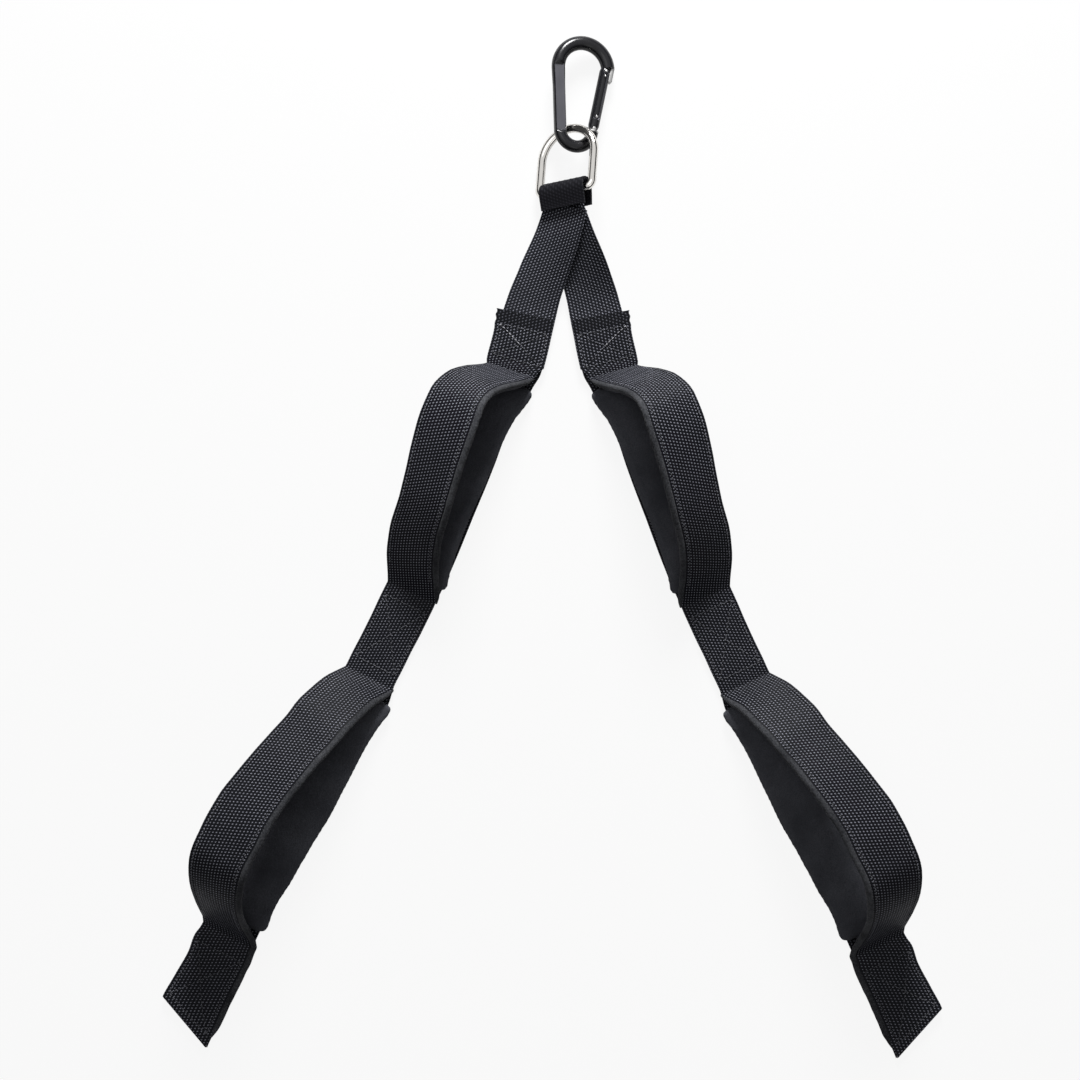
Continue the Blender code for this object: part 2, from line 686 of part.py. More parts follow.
def build_carabiner(matrix):
    """Frame, gate, pins, plunger and spring, made in the carabiner's own plane."""
    turn = taper()
    normal = Vector((math.cos(turn), -math.sin(turn), 0))
    along = Vector((math.sin(turn), math.cos(turn), 0))
    side_length = ARC_SPACING * math.cos(turn)
    low_end = normal * CROOK_RADIUS
    high_end = Vector((0, ARC_SPACING, 0)) + normal * TOP_RADIUS
    pivot = low_end + along * PIVOT_HEIGHT
    latch = high_end - along * LATCH_DEPTH

    def on_side(outward, up_the_side, base=pivot):
        return base + normal * outward + along * up_the_side

    frame = swept_rod("carabiner_frame", carabiner_points(), ROD_RADIUS, BLACK_METAL)
    tip = [
        on_side(TONGUE_RADIUS * math.cos(math.radians(a)), TONGUE_RADIUS * math.sin(math.radians(a)))
        for a in range(0, 181, 20)
    ]
    root = PIVOT_HEIGHT + ROD_RADIUS / 2
    tongue = flat_outline(
        "hinge_tongue", tip + [on_side(-TONGUE_RADIUS, -root), on_side(TONGUE_RADIUS, -root)],
        TONGUE_THICKNESS, BLACK_METAL,
    )
    notch = PIN_RADIUS + SLOT_CLEARANCE
    wall_face = NOSE_BACK - NOSE_WALL
    nose = flat_outline(
        "nose_hook",
        [
            on_side(-notch - NOSE_TOE, ROD_RADIUS / 2, high_end), on_side(NOSE_BACK, ROD_RADIUS / 2, high_end),
            on_side(NOSE_BACK, -NOSE_LENGTH, high_end), on_side(-NOSE_TOE, -NOSE_LENGTH, high_end),
            on_side(-NOSE_TOE, -notch, latch), on_side(wall_face, -notch, latch),
            on_side(wall_face, notch, latch), on_side(-notch - NOSE_TOE, notch, latch),
        ],
        TONGUE_THICKNESS, BLACK_METAL,
    )
    combine(frame, tongue, "UNION")
    combine(frame, nose, "UNION")
    pin_hole = cylinder(
        "pivot_hole", PIN_RADIUS + PIN_CLEARANCE, 2 * GATE_RADIUS + OVERRUN, BLACK_METAL,
        Matrix.Translation(pivot),
    )
    combine(frame, pin_hole, "DIFFERENCE")
    spine_middle = Vector((-(TOP_RADIUS + CROOK_RADIUS) / 2 * math.cos(turn), ARC_SPACING / 2, 0))
    spine_turn = Matrix.Rotation(turn, 4, "Z")
    flat_size = (2 * ROD_RADIUS, FLAT_LENGTH_SHARE * side_length, ROD_RADIUS)
    for face, name in ((1, "spine_flat_top"), (-1, "spine_flat_under")):
        place = spine_middle + UP * face * (1.5 * ROD_RADIUS - FLAT_DEPTH)
        cutter = box(name, flat_size, BLACK_METAL, Matrix.Translation(place) @ spine_turn)
        combine(frame, cutter, "DIFFERENCE")

    gate_low = -CHEEK_DROP
    gate_high = side_length - PIVOT_HEIGHT - GATE_END_GAP
    gate_turn = Matrix.Rotation(-turn, 4, "Z") @ Matrix.Rotation(math.radians(-90), 4, "X")
    gate = cylinder(
        "carabiner_gate", GATE_RADIUS, gate_high - gate_low, GATE_METAL,
        Matrix.Translation(on_side(0, (gate_low + gate_high) / 2)) @ gate_turn, vertices=20,
    )
    slot_width = TONGUE_THICKNESS + 2 * SLOT_CLEARANCE
    flat_turn = Matrix.Rotation(-turn, 4, "Z")
    hinge_slot_top = TONGUE_RADIUS + 2 * SLOT_CLEARANCE
    nose_slot_low = gate_high + GATE_END_GAP - NOSE_LENGTH - 2 * SLOT_CLEARANCE
    for name, low, high in (
        ("hinge_slot", gate_low - OVERRUN, hinge_slot_top),
        ("nose_slot", nose_slot_low, gate_high + OVERRUN),
    ):
        place = Matrix.Translation(on_side(0, (low + high) / 2)) @ flat_turn
        size = (2 * GATE_RADIUS + 2 * OVERRUN, high - low, slot_width)
        combine(gate, box(name, size, GATE_METAL, place), "DIFFERENCE")
    bore_top = hinge_slot_top + PLUNGER_LENGTH + SPRING_LENGTH + 2 * SLOT_CLEARANCE
    bore = cylinder(
        "spring_bore", BORE_RADIUS, bore_top + OVERRUN - hinge_slot_top, GATE_METAL,
        Matrix.Translation(on_side(0, (bore_top + hinge_slot_top - OVERRUN) / 2)) @ gate_turn,
    )
    combine(gate, bore, "DIFFERENCE")
    for name, place in (("gate_pivot_hole", pivot), ("gate_latch_hole", latch)):
        hole = cylinder(
            name, PIN_RADIUS + PIN_CLEARANCE, 2 * GATE_RADIUS + OVERRUN, GATE_METAL,
            Matrix.Translation(place),
        )
        combine(gate, hole, "DIFFERENCE")
    pieces = [frame, gate]
    for name, place in (("gate_pivot_pin", pivot), ("gate_latch_pin", latch)):
        pieces.append(cylinder(name, PIN_RADIUS, PIN_LENGTH, PIN_STEEL, Matrix.Translation(place)))
    plunger_low = hinge_slot_top - SLOT_CLEARANCE
    pieces.append(cylinder(
        "gate_plunger", PLUNGER_RADIUS, PLUNGER_LENGTH, PIN_STEEL,
        Matrix.Translation(on_side(0, plunger_low + PLUNGER_LENGTH / 2)) @ gate_turn, vertices=12,
    ))
    spring_low = plunger_low + PLUNGER_LENGTH + LAYER_GAP + SPRING_WIRE
    spring_span = SPRING_LENGTH - 2 * SPRING_WIRE - LAYER_GAP
    coil = []
    side_turn = Matrix.Rotation(-turn, 4, "Z")
    coil_steps = SPRING_TURNS * SPRING_TURN_POINTS
    for index in range(coil_steps + 1):
        angle = math.tau * index / SPRING_TURN_POINTS
        share = index / coil_steps
        around = Vector((SPRING_RADIUS * math.cos(angle), 0, SPRING_RADIUS * math.sin(angle)))
        coil.append(on_side(0, spring_low + share * spring_span) + side_turn @ around)
    pieces.append(swept_rod("gate_spring", coil, SPRING_WIRE, PIN_STEEL))
    for piece in pieces + list(CUTTERS.objects):
        piece.data.transform(matrix)
    seat = matrix @ pivot
    for piece in pieces:
        if piece is not frame:
            piece.data.transform(Matrix.Translation(-seat))
            piece.location = seat


clear_scene()
MODEL = make_collection("strap_attachment")
CUTTERS = make_collection("cutters")
WEBBING = make_material("black webbing", (0.025, 0.025, 0.029), 0.75)
PAD_FABRIC = make_material("pad fabric", (0.012, 0.012, 0.014), 0.95)
CHROME = make_material("chromed wire", (0.72, 0.70, 0.67), 0.16, 1.0)
BLACK_METAL = make_material("black anodised rod", (0.012, 0.012, 0.014), 0.28, 0.7)
GATE_METAL = make_material("black anodised gate", (0.014, 0.014, 0.016), 0.32, 0.7)
PIN_STEEL = make_material("pin steel", (0.55, 0.55, 0.55), 0.3, 1.0)

BAR_WAY, RING_AXIS, RING_NORMAL = ring_axes()
ring_turned = frame_matrix(BAR_WAY, RING_AXIS, RING_NORMAL, Vector((0, 0, 0)))
ring_points = [ring_turned @ point for point in ring_outline()]
BAR_CENTRE = Vector((0, BAR_PLACE_Y, WIRE_RADIUS - min(point.z for point in ring_points)))
ring_points = [point + BAR_CENTRE for point in ring_points]
drop = math.radians(FLAP_DROP)
down = Vector((0, -math.cos(drop), -math.sin(drop)))
DOWN_FLAP = (down - BAR_WAY * down.dot(BAR_WAY)).normalized()
STACK_NORMAL = DOWN_FLAP.cross(BAR_WAY).normalized()
CROSSING = BAR_CENTRE + DOWN_FLAP * FLAP_LENGTH

build_ring(ring_points)
build_loop()
for side_prefix, side_sign in (("left_", -1), ("right_", 1)):
    build_side(side_prefix, side_sign)
build_carabiner(seat_carabiner(ring_points))
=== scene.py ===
# %% [markdown]
# A cable attachment for a gym machine: two straps of black webbing, each sewn into two padded hand loops,
# hung from a chromed D-ring and a black carabiner. It lies flat and is seen from straight above. The frame
# holds the solid pieces at their real size. This script dresses them: woven webbing with its thread, soft
# pads, plated wire and anodised rod. Every new piece stands where its solid stands, and all but the bands of
# the two straps and the felt edges of the lower loops ride on the same moving body.

# %% Load the frame
import json
import math

import bmesh
import bpy
from mathutils import Matrix, Vector, noise


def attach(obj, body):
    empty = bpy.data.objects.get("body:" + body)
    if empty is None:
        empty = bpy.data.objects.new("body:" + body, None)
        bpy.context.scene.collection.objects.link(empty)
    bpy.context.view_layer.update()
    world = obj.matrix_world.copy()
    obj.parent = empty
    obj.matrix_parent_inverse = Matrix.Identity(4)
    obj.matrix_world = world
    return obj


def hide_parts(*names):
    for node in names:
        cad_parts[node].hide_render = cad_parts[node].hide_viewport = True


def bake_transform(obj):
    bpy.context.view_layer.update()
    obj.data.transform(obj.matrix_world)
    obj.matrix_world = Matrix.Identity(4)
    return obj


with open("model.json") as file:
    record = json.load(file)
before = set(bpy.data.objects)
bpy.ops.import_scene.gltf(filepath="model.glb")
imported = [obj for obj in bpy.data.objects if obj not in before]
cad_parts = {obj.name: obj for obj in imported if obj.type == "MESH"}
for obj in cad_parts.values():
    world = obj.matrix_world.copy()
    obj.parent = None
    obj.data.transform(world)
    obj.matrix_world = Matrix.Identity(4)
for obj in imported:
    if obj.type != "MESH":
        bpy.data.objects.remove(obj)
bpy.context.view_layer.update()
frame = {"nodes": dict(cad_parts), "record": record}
UP = Vector((0, 0, 1))

# %% [markdown]
# The camera looks straight down from a little over a metre, as somebody would photograph
# a strap laid out on a table. The picture is square, so the width that it takes in on the
# table and the camera's height give the angle of view. It is turned by a trace, because
# the strap lies a little askew in the picture.

# %% Camera
CAMERA_HEIGHT = 1.10
PICTURE_WIDTH = 0.756
PICTURE_CENTRE = (-0.0136, 0.0046)
PICTURE_TURN = 0.0154

lens = bpy.data.cameras.new("camera")
lens.angle = 2 * math.atan(PICTURE_WIDTH / 2 / CAMERA_HEIGHT)
camera = bpy.data.objects.new("camera", lens)
camera.location = (*PICTURE_CENTRE, CAMERA_HEIGHT)
camera.rotation_euler = (0, 0, PICTURE_TURN)
bpy.context.scene.collection.objects.link(camera)
bpy.context.scene.camera = camera

# %% [markdown]
# The room, the table and every finish below are trees of shader nodes. These helpers keep
# a tree readable: the first gives an input its value, whether that is another node's
# socket or a plain number, and each of the others adds one node and fills its inputs.

# %% Node helpers
def join(tree, source, socket):
    if isinstance(source, bpy.types.NodeSocket):
        tree.links.new(source, socket)
    else:
        socket.default_value = source


def add_math(tree, operation, *values, clamp=False):
    node = tree.nodes.new("ShaderNodeMath")
    node.operation = operation
    node.use_clamp = clamp
    for value, socket in zip(values, node.inputs):
        join(tree, value, socket)
    return node.outputs[0]


def add_node(tree, kind, **inputs):
    node = tree.nodes.new(kind)
    for name, value in inputs.items():
        join(tree, value, node.inputs[name.replace("_", " ")])
    return node


def mix_values(tree, factor, first, second):
    return add_node(tree, "ShaderNodeMix", Factor=factor, A=first, B=second).outputs["Result"]


# %% [markdown]
# Black cloth only shows its weave when light rakes across it. The main lamp therefore
# stands beyond the carabiner and fairly low, so each yarn has a bright side and a dark
# side. A large dim lamp overhead keeps the shadows soft, and a faint one stands at the
# near side.

# %% Lamps
def area_lamp(name, place, target, size, power):
    light = bpy.data.lights.new(name, "AREA")
    light.shape = "DISK"
    light.size = size
    light.energy = power
    lamp = bpy.data.objects.new(name, light)
    lamp.location = place
    lamp.rotation_euler = (Vector(target) - Vector(place)).to_track_quat("-Z", "Y").to_euler()
    bpy.context.scene.collection.objects.link(lamp)
    return lamp


area_lamp("raking_lamp", (0.05, 1.30, 0.64), (0, 0.06, 0), 0.45, 31)
area_lamp("overhead_lamp", (-0.4, 0.3, 1.6), (0, 0, 0), 1.2, 4)
area_lamp("near_lamp", (0.5, -1.0, 1.2), (0, 0, 0), 0.8, 1.0)

# %% [markdown]
# The ring's plating needs something to reflect, so reflected rays see a room with a pale
# ceiling and dark walls. The camera sees a pale backdrop, and everything else gets a
# little even light. The Light Path node tells these three kinds of ray apart.

# %% Room
WORLD_LIGHT = 0.12
MIRRORED_WALLS = 0.05
MIRRORED_CEILING = 0.80
CEILING_HEIGHTS = (0.42, 0.66)
BACKDROP = 0.95
WHITE = (1, 1, 1, 1)
world = bpy.data.worlds.new("studio")
bpy.context.scene.world = world
world.use_nodes = True
tree = world.node_tree
background = tree.nodes["Background"]
background.inputs["Color"].default_value = WHITE
way = add_node(
    tree, "ShaderNodeSeparateXYZ", Vector=tree.nodes.new("ShaderNodeTexCoord").outputs["Generated"]
)
ceiling = add_node(
    tree, "ShaderNodeMapRange", Value=way.outputs["Z"], From_Min=CEILING_HEIGHTS[0],
    From_Max=CEILING_HEIGHTS[1], To_Min=MIRRORED_WALLS, To_Max=MIRRORED_CEILING,
)
rays = tree.nodes.new("ShaderNodeLightPath")
room = mix_values(tree, rays.outputs["Is Glossy Ray"], WORLD_LIGHT, ceiling.outputs["Result"])
strength = mix_values(tree, rays.outputs["Is Camera Ray"], room, BACKDROP)
tree.links.new(strength, background.inputs["Strength"])
bpy.context.scene.view_settings.view_transform = "Standard"

# %% [markdown]
# The table is white to the camera and duller in mirrors, but has to keep the strap's
# shadow. So its material is mostly a white glow for those rays, mixed with a pale matt
# paint that takes the shadow.

# %% Table
FLOOR_SIZE = 6.0
FLOOR_GAP = 0.0004
TABLE_PAINT = (0.70, 0.70, 0.70, 1)
TABLE_GLOW = 0.90
MIRRORED_TABLE = 0.55
bm = bmesh.new()
bmesh.ops.create_grid(bm, x_segments=1, y_segments=1, size=FLOOR_SIZE / 2)
bmesh.ops.translate(bm, verts=bm.verts, vec=(0, 0, -FLOOR_GAP))
floor_mesh = bpy.data.meshes.new("table_top")
bm.to_mesh(floor_mesh)
bm.free()
floor = bpy.data.objects.new("table_top", floor_mesh)
bpy.context.scene.collection.objects.link(floor)
floor_paint = bpy.data.materials.new("white table")
floor_paint.use_nodes = True
tree = floor_paint.node_tree
tree.nodes.clear()
rays = tree.nodes.new("ShaderNodeLightPath")
mirrored = add_math(tree, "MULTIPLY", rays.outputs["Is Glossy Ray"], MIRRORED_TABLE)
seen = add_math(tree, "MAXIMUM", rays.outputs["Is Camera Ray"], mirrored)
matt = add_node(tree, "ShaderNodeBsdfDiffuse", Color=TABLE_PAINT)
glow = add_node(tree, "ShaderNodeEmission", Color=WHITE)
mix = add_node(tree, "ShaderNodeMixShader", Fac=add_math(tree, "MULTIPLY", seen, TABLE_GLOW))
tree.links.new(matt.outputs[0], mix.inputs[1])
tree.links.new(glow.outputs[0], mix.inputs[2])
output = tree.nodes.new("ShaderNodeOutputMaterial")
tree.links.new(mix.outputs[0], output.inputs["Surface"])
floor_mesh.materials.append(floor_paint)

# %% [markdown]
# The webbing's route is the same one that the solids follow: a plan line on the table,
# and for each hand loop a second line that rises and leans away from it. The values are
# the solids' own, in metres and degrees, and a table named shares gives places along a
# loop and how much of its rise, lean or roll it has there.

# %% Sizes of the straps
WEBBING_THICKNESS = 0.0018
WEBBING_WIDTH = 0.038
LAYER_GAP = 0.0003
LAYER_PITCH = WEBBING_THICKNESS + LAYER_GAP
LEG_WIDTH_AT_RING = 0.0335
LEG_WIDTH = 0.0362
LEG_REACH = 0.0760
LEG_HEADING = 17.5
LEG_PULL_SHARE = 1.08
LEG_TOP_INSET = 0.0020
TAB_LENGTH = 0.0370
UPPER_LENGTH = 0.1780
MIDDLE_LENGTH = 0.0580
LOWER_LENGTH = 0.2140
END_LENGTH = 0.0640
END_SLANT = 27.0
TAB_HEADINGS = (11.0, 15.5)
UPPER_TURN_SHARE = 0.12
UPPER_HEADINGS = (21.5, 24.8)
MIDDLE_HEADING = 26.0
LOWER_TURN_SHARE = 0.15
LOWER_HEADINGS = (29.0, 28.5)
END_HEADINGS = (26.0, 22.0)
UPPER_LOOP = {
    "rise": 0.0460, "lean": 0.0290, "roll": 31.0,
    "rise_shares": (
        (0, 0), (0.025, 0), (0.07, 0.27), (0.14, 0.70), (0.22, 0.93), (0.32, 1.0), (0.50, 0.93),
        (0.63, 0.80), (0.75, 0.60), (0.85, 0.36), (0.93, 0.12), (0.975, 0), (1, 0),
    ),
    "lean_shares": (
        (0, 0), (0.025, 0), (0.07, 0.38), (0.14, 0.80), (0.22, 0.98), (0.32, 0.97), (0.50, 0.82),
        (0.63, 0.70), (0.75, 0.55), (0.85, 0.36), (0.93, 0.12), (0.975, 0), (1, 0),
    ),
    "roll_shares": (
        (0, 0), (0.025, 0), (0.07, 0.3), (0.16, 0.9), (0.3, 1), (0.6, 1), (0.8, 0.7), (0.93, 0.15),
        (0.975, 0), (1, 0),
    ),
}
LOWER_LOOP = {
    "rise": 0.0600, "lean": 0.0320, "roll": 20.0,
    "rise_shares": (
        (0, 0), (0.025, 0), (0.08, 0.20), (0.18, 0.46), (0.27, 0.62), (0.36, 0.77), (0.45, 0.88),
        (0.53, 0.96), (0.61, 1.0), (0.69, 1.0), (0.76, 0.92), (0.83, 0.72), (0.90, 0.36), (0.95, 0.08),
        (0.975, 0), (1, 0),
    ),
    "lean_shares": (
        (0, 0), (0.025, 0), (0.08, 0.25), (0.18, 0.60), (0.27, 0.73), (0.36, 0.84), (0.45, 0.93),
        (0.53, 1.0), (0.61, 1.0), (0.69, 0.94), (0.76, 0.80), (0.83, 0.60), (0.90, 0.33), (0.95, 0.08),
        (0.975, 0), (1, 0),
    ),
    "roll_shares": (
        (0, 0), (0.025, 0), (0.1, 0.8), (0.25, 1), (0.45, 0.8), (0.65, 0.5), (0.8, 0.3), (0.93, 0.05),
        (0.975, 0), (1, 0),
    ),
}
WIRE_RADIUS = 0.0030
RING_HALF_WIDTH = 0.0205
RING_SIDE = 0.0240
RING_CORNER = 0.0040
RING_ROLL = 30.0
RING_PITCH = 10.0
BAR_PLACE_Y = 0.24555
BAR_CLEARANCE = 0.0004
LOOP_WIDTH = 0.0335
FLAP_LENGTH = 0.0120
FLAP_DROP = 3.0


# %% [markdown]
# A table of places and values becomes a smooth curve here. Its slopes are held back at
# each point so that the curve never overshoots, which would push one layer of webbing
# into the next. A path is a row of such places in space, each with a direction along the
# strap and one across it.

# %% Smooth values and paths
def smooth_value(table, place):
    """A value at a place, on a smooth curve through a table of (place, value)."""
    last = len(table) - 2
    row = min(last, max(0, sum(1 for entry in table[1:-1] if entry[0] <= place)))
    (p1, v1), (p2, v2) = table[row], table[row + 1]
    p0, v0 = table[max(0, row - 1)]
    p3, v3 = table[min(len(table) - 1, row + 2)]
    span, rise = p2 - p1, v2 - v1
    share = min(1.0, max(0.0, (place - p1) / span))
    slopes = []
    for slope in ((v2 - v0) / (p2 - p0) * span, (v3 - v1) / (p3 - p1) * span):
        held = math.copysign(min(abs(slope), 3 * abs(rise)), rise)
        slopes.append(0 if slope * rise <= 0 else held)
    square, cube = share ** 2, share ** 3
    return (
        v1 * (2 * cube - 3 * square + 1) + slopes[0] * (cube - 2 * square + share)
        + v2 * (3 * square - 2 * cube) + slopes[1] * (cube - square)
    )


class Path:
    """Places in space, each with a direction across. frame() reads it at a distance."""

    def __init__(self, origins, acrosses, start=0.0):
        self.origins, self.acrosses = origins, acrosses
        self.places = [start]
        for one, two in zip(origins, origins[1:]):
            self.places.append(self.places[-1] + (two - one).length)
        last = len(origins) - 1
        self.alongs = [
            (origins[min(last, i + 1)] - origins[max(0, i - 1)]).normalized() for i in range(last + 1)
        ]
        self.row = 0

    @property
    def length(self):
        return self.places[-1] - self.places[0]

    def frame(self, place):
        last = len(self.places) - 2
        row = min(self.row, last)
        while row > 0 and self.places[row] >= place:
            row -= 1
        while row < last and self.places[row + 1] < place:
            row += 1
        self.row = row
        share = (place - self.places[row]) / (self.places[row + 1] - self.places[row])
        held = min(1.0, max(0.0, share))
        origin = self.origins[row].lerp(self.origins[row + 1], share)
        along = self.alongs[row].lerp(self.alongs[row + 1], held).normalized()
        across = self.acrosses[row].lerp(self.acrosses[row + 1], held).normalized()
        normal = across.cross(along).normalized()
        return origin, along, across, -normal if normal.dot(UP) < 0 else normal


# %% [markdown]
# The ring is tipped, because its wire passes over one side of the carabiner's crook and
# under the other. Its bar sets the direction of the band of webbing round it and of the
# two straps that leave the band, so those directions come first.

# %% Directions at the ring
pitch, roll = math.radians(RING_PITCH), math.radians(RING_ROLL)
RING_AXIS = Vector((0, math.cos(pitch), -math.sin(pitch)))
BAR_WAY = Vector((math.cos(roll), math.sin(roll) * math.sin(pitch), math.sin(roll) * math.cos(pitch)))
RING_NORMAL = BAR_WAY.cross(RING_AXIS)
RING_STEPS = 48


def arc_points(centre, radius, first, last, count):
    angles = [math.radians(first + (last - first) * i / count) for i in range(count + 1)]
    x, y = centre
    return [Vector((x + radius * math.cos(a), y + radius * math.sin(a), 0)) for a in angles]


def ring_points():
    """The ring's wire, in its own plane: the bar on the X axis, the arch towards +Y."""
    inner = RING_HALF_WIDTH - RING_CORNER
    corner_steps = RING_STEPS // 6
    points = arc_points((0, RING_SIDE), RING_HALF_WIDTH, 0, 180, RING_STEPS)
    points += arc_points((-inner, RING_CORNER), RING_CORNER, 180, 270, corner_steps)
    points += arc_points((inner, RING_CORNER), RING_CORNER, 270, 360, corner_steps)
    return points


turned = [BAR_WAY * p.x + RING_AXIS * p.y for p in ring_points()]
BAR_CENTRE = Vector((0, BAR_PLACE_Y, WIRE_RADIUS - min(p.z for p in turned)))
drop = math.radians(FLAP_DROP)
down = Vector((0, -math.cos(drop), -math.sin(drop)))
DOWN_FLAP = (down - BAR_WAY * down.dot(BAR_WAY)).normalized()
STACK_NORMAL = DOWN_FLAP.cross(BAR_WAY).normalized()
CROSSING = BAR_CENTRE + DOWN_FLAP * FLAP_LENGTH


# %% [markdown]
# One side of the attachment is one long plan line. The front and the back layer of
# webbing follow it, flat on each other where they are sewn and apart in the hand loops.
# Each layer is laid out here as one unbroken path, so that the weave runs on without a
# seam wherever the layer is later divided.

# %% Routes of one side
ROUTE_STEP = 0.0035
LOOP_STEPS = 40
STRETCH_ENDS = ("tab_end", "upper_end", "middle_end", "lower_end", "tip")


class Side:
    """The plan line of one strap and the paths of its two layers."""

    def __init__(self, sign):
        self.sign = sign
        self.name = "right" if sign > 0 else "left"
        self.tab_end = TAB_LENGTH
        self.upper_end = self.tab_end + UPPER_LENGTH
        self.middle_end = self.upper_end + MIDDLE_LENGTH
        self.lower_end = self.middle_end + LOWER_LENGTH
        self.tip = self.lower_end + END_LENGTH
        self.plan = self.make_plan()
        self.front, self.front_marks = self.make_layer(True)
        self.back, self.back_marks = self.make_layer(False)

    def make_plan(self):
        headings = (
            (0, TAB_HEADINGS[0]),
            (self.tab_end, TAB_HEADINGS[1]),
            (self.tab_end + UPPER_TURN_SHARE * UPPER_LENGTH, UPPER_HEADINGS[0]),
            (self.tab_end + (1 - UPPER_TURN_SHARE) * UPPER_LENGTH / 2, UPPER_HEADINGS[1]),
            (self.upper_end, UPPER_HEADINGS[1]),
            ((self.upper_end + self.middle_end) / 2, MIDDLE_HEADING),
            (self.middle_end, MIDDLE_HEADING),
            (self.middle_end + LOWER_TURN_SHARE * LOWER_LENGTH, LOWER_HEADINGS[0]),
            (self.lower_end - LOWER_TURN_SHARE * LOWER_LENGTH, LOWER_HEADINGS[1]),
            (self.lower_end, END_HEADINGS[0]),
            (self.tip, END_HEADINGS[1]),
        )
        out = LEG_REACH * math.sin(math.radians(LEG_HEADING))
        up_page = CROSSING.y - LEG_REACH * math.cos(math.radians(LEG_HEADING))
        steps = 4 * LOOP_STEPS
        step = self.tip / steps
        origins, acrosses = [], []
        for index in range(steps + 1):
            heading = math.radians(smooth_value(headings, index * step))
            origins.append(Vector((self.sign * out, up_page, 0)))
            acrosses.append(Vector((self.sign * math.cos(heading), math.sin(heading), 0)))
            middle = math.radians(smooth_value(headings, (index + 0.5) * step))
            out += step * math.sin(middle)
            up_page -= step * math.cos(middle)
        return Path(origins, acrosses)

    def flat_stretch(self, start, end, height):
        steps = math.ceil((end - start) / ROUTE_STEP)
        frames = [self.plan.frame(start + (end - start) * i / steps) for i in range(steps + 1)]
        return [(f[0] + UP * height, f[2]) for f in frames]

    def loop_stretch(self, start, end, loop, bases):
        stretch = []
        for index in range(LOOP_STEPS + 1):
            share = index / LOOP_STEPS
            origin, _, across, _ = self.plan.frame(start + share * (end - start))
            rise = loop["rise"] * smooth_value(loop["rise_shares"], share)
            lift = bases[0] + share * (bases[1] - bases[0]) + rise
            angle = math.radians(loop["roll"]) * smooth_value(loop["roll_shares"], share)
            lean = loop["lean"] * smooth_value(loop["lean_shares"], share)
            rolled = across * math.cos(angle) - UP * math.sin(angle)
            stretch.append((origin + across * lean + UP * lift, rolled))
        return stretch

    def make_layer(self, front):
        """The layer's underside as one path, and the places of its joints and middles."""
        low, high = (LAYER_PITCH, 2 * LAYER_PITCH) if front else (0, 0)
        stretches = [self.flat_stretch(0, self.tab_end, high)]
        for start, end, loop, bases in (
            (self.tab_end, self.upper_end, UPPER_LOOP, (high, low)),
            (self.middle_end, self.lower_end, LOWER_LOOP, (low, low)),
        ):
            if front:
                stretches.append(self.loop_stretch(start, end, loop, bases))
            else:
                stretches.append(self.flat_stretch(start, end, 0))
            next_end = self.middle_end if loop is UPPER_LOOP else self.tip
            stretches.append(self.flat_stretch(end, next_end, low))
        points, marks = list(stretches[0]), [len(stretches[0]) - 1]
        for stretch in stretches[1:]:
            points += stretch[1:]
            marks.append(len(points) - 1)
        path = Path([p for p, _ in points], [a for _, a in points])
        places = [path.places[m] for m in marks]
        return path, dict(zip(STRETCH_ENDS, places))


SIDES = [Side(-1), Side(1)]
for side in SIDES:
    lengths = [round(layer.length, 3) for layer in (side.front, side.back)]
    print(side.name, "front and back layer", *lengths, "m")

# %% [markdown]
# Webbing this heavy shows its yarns as staggered dots about two millimetres apart. A
# bump in the material alone would leave the strap's edge and its shaded side smooth, so
# the yarns are real: a grid has two cells to each yarn, its vertices go up at the yarns
# and down between them, and solidify turns it into a band. Each vertex also keeps its
# column and row as a UV, which the material reads to colour the yarns.

# %% Woven bands
YARN_STEP = 0.00112
YARN_RISE = 0.00020
YARN_DIP = 0.00015
SELVAGE_COLUMNS = 2
EDGE_ROUNDING = 0.00035
EDGE_WAVER = 0.0003
WAVER_RATE = 60.0


def yarn_height(column, row, columns):
    """How far the weave stands up at a vertex, with plain flat selvages at both edges."""
    from_edge = min(column, columns - column)
    if from_edge == 0:
        return -EDGE_ROUNDING
    if from_edge <= SELVAGE_COLUMNS:
        return YARN_DIP / 2 if row % 2 else -YARN_DIP / 2
    if column % 2:
        return -YARN_DIP
    return YARN_RISE if (row + column // 2) % 2 == 0 else -YARN_DIP / 2


def finish_mesh(bm, name, material, sharp_angle=50):
    bmesh.ops.recalc_face_normals(bm, faces=bm.faces)
    if bm.calc_volume(signed=True) < 0:
        bmesh.ops.reverse_faces(bm, faces=bm.faces)
    mesh = bpy.data.meshes.new(name)
    bm.to_mesh(mesh)
    bm.free()
    mesh.shade_smooth()
    mesh.set_sharp_from_angle(angle=math.radians(sharp_angle))
    mesh.materials.append(material)
    obj = bpy.data.objects.new(name, mesh)
    bpy.context.scene.collection.objects.link(obj)
    return obj


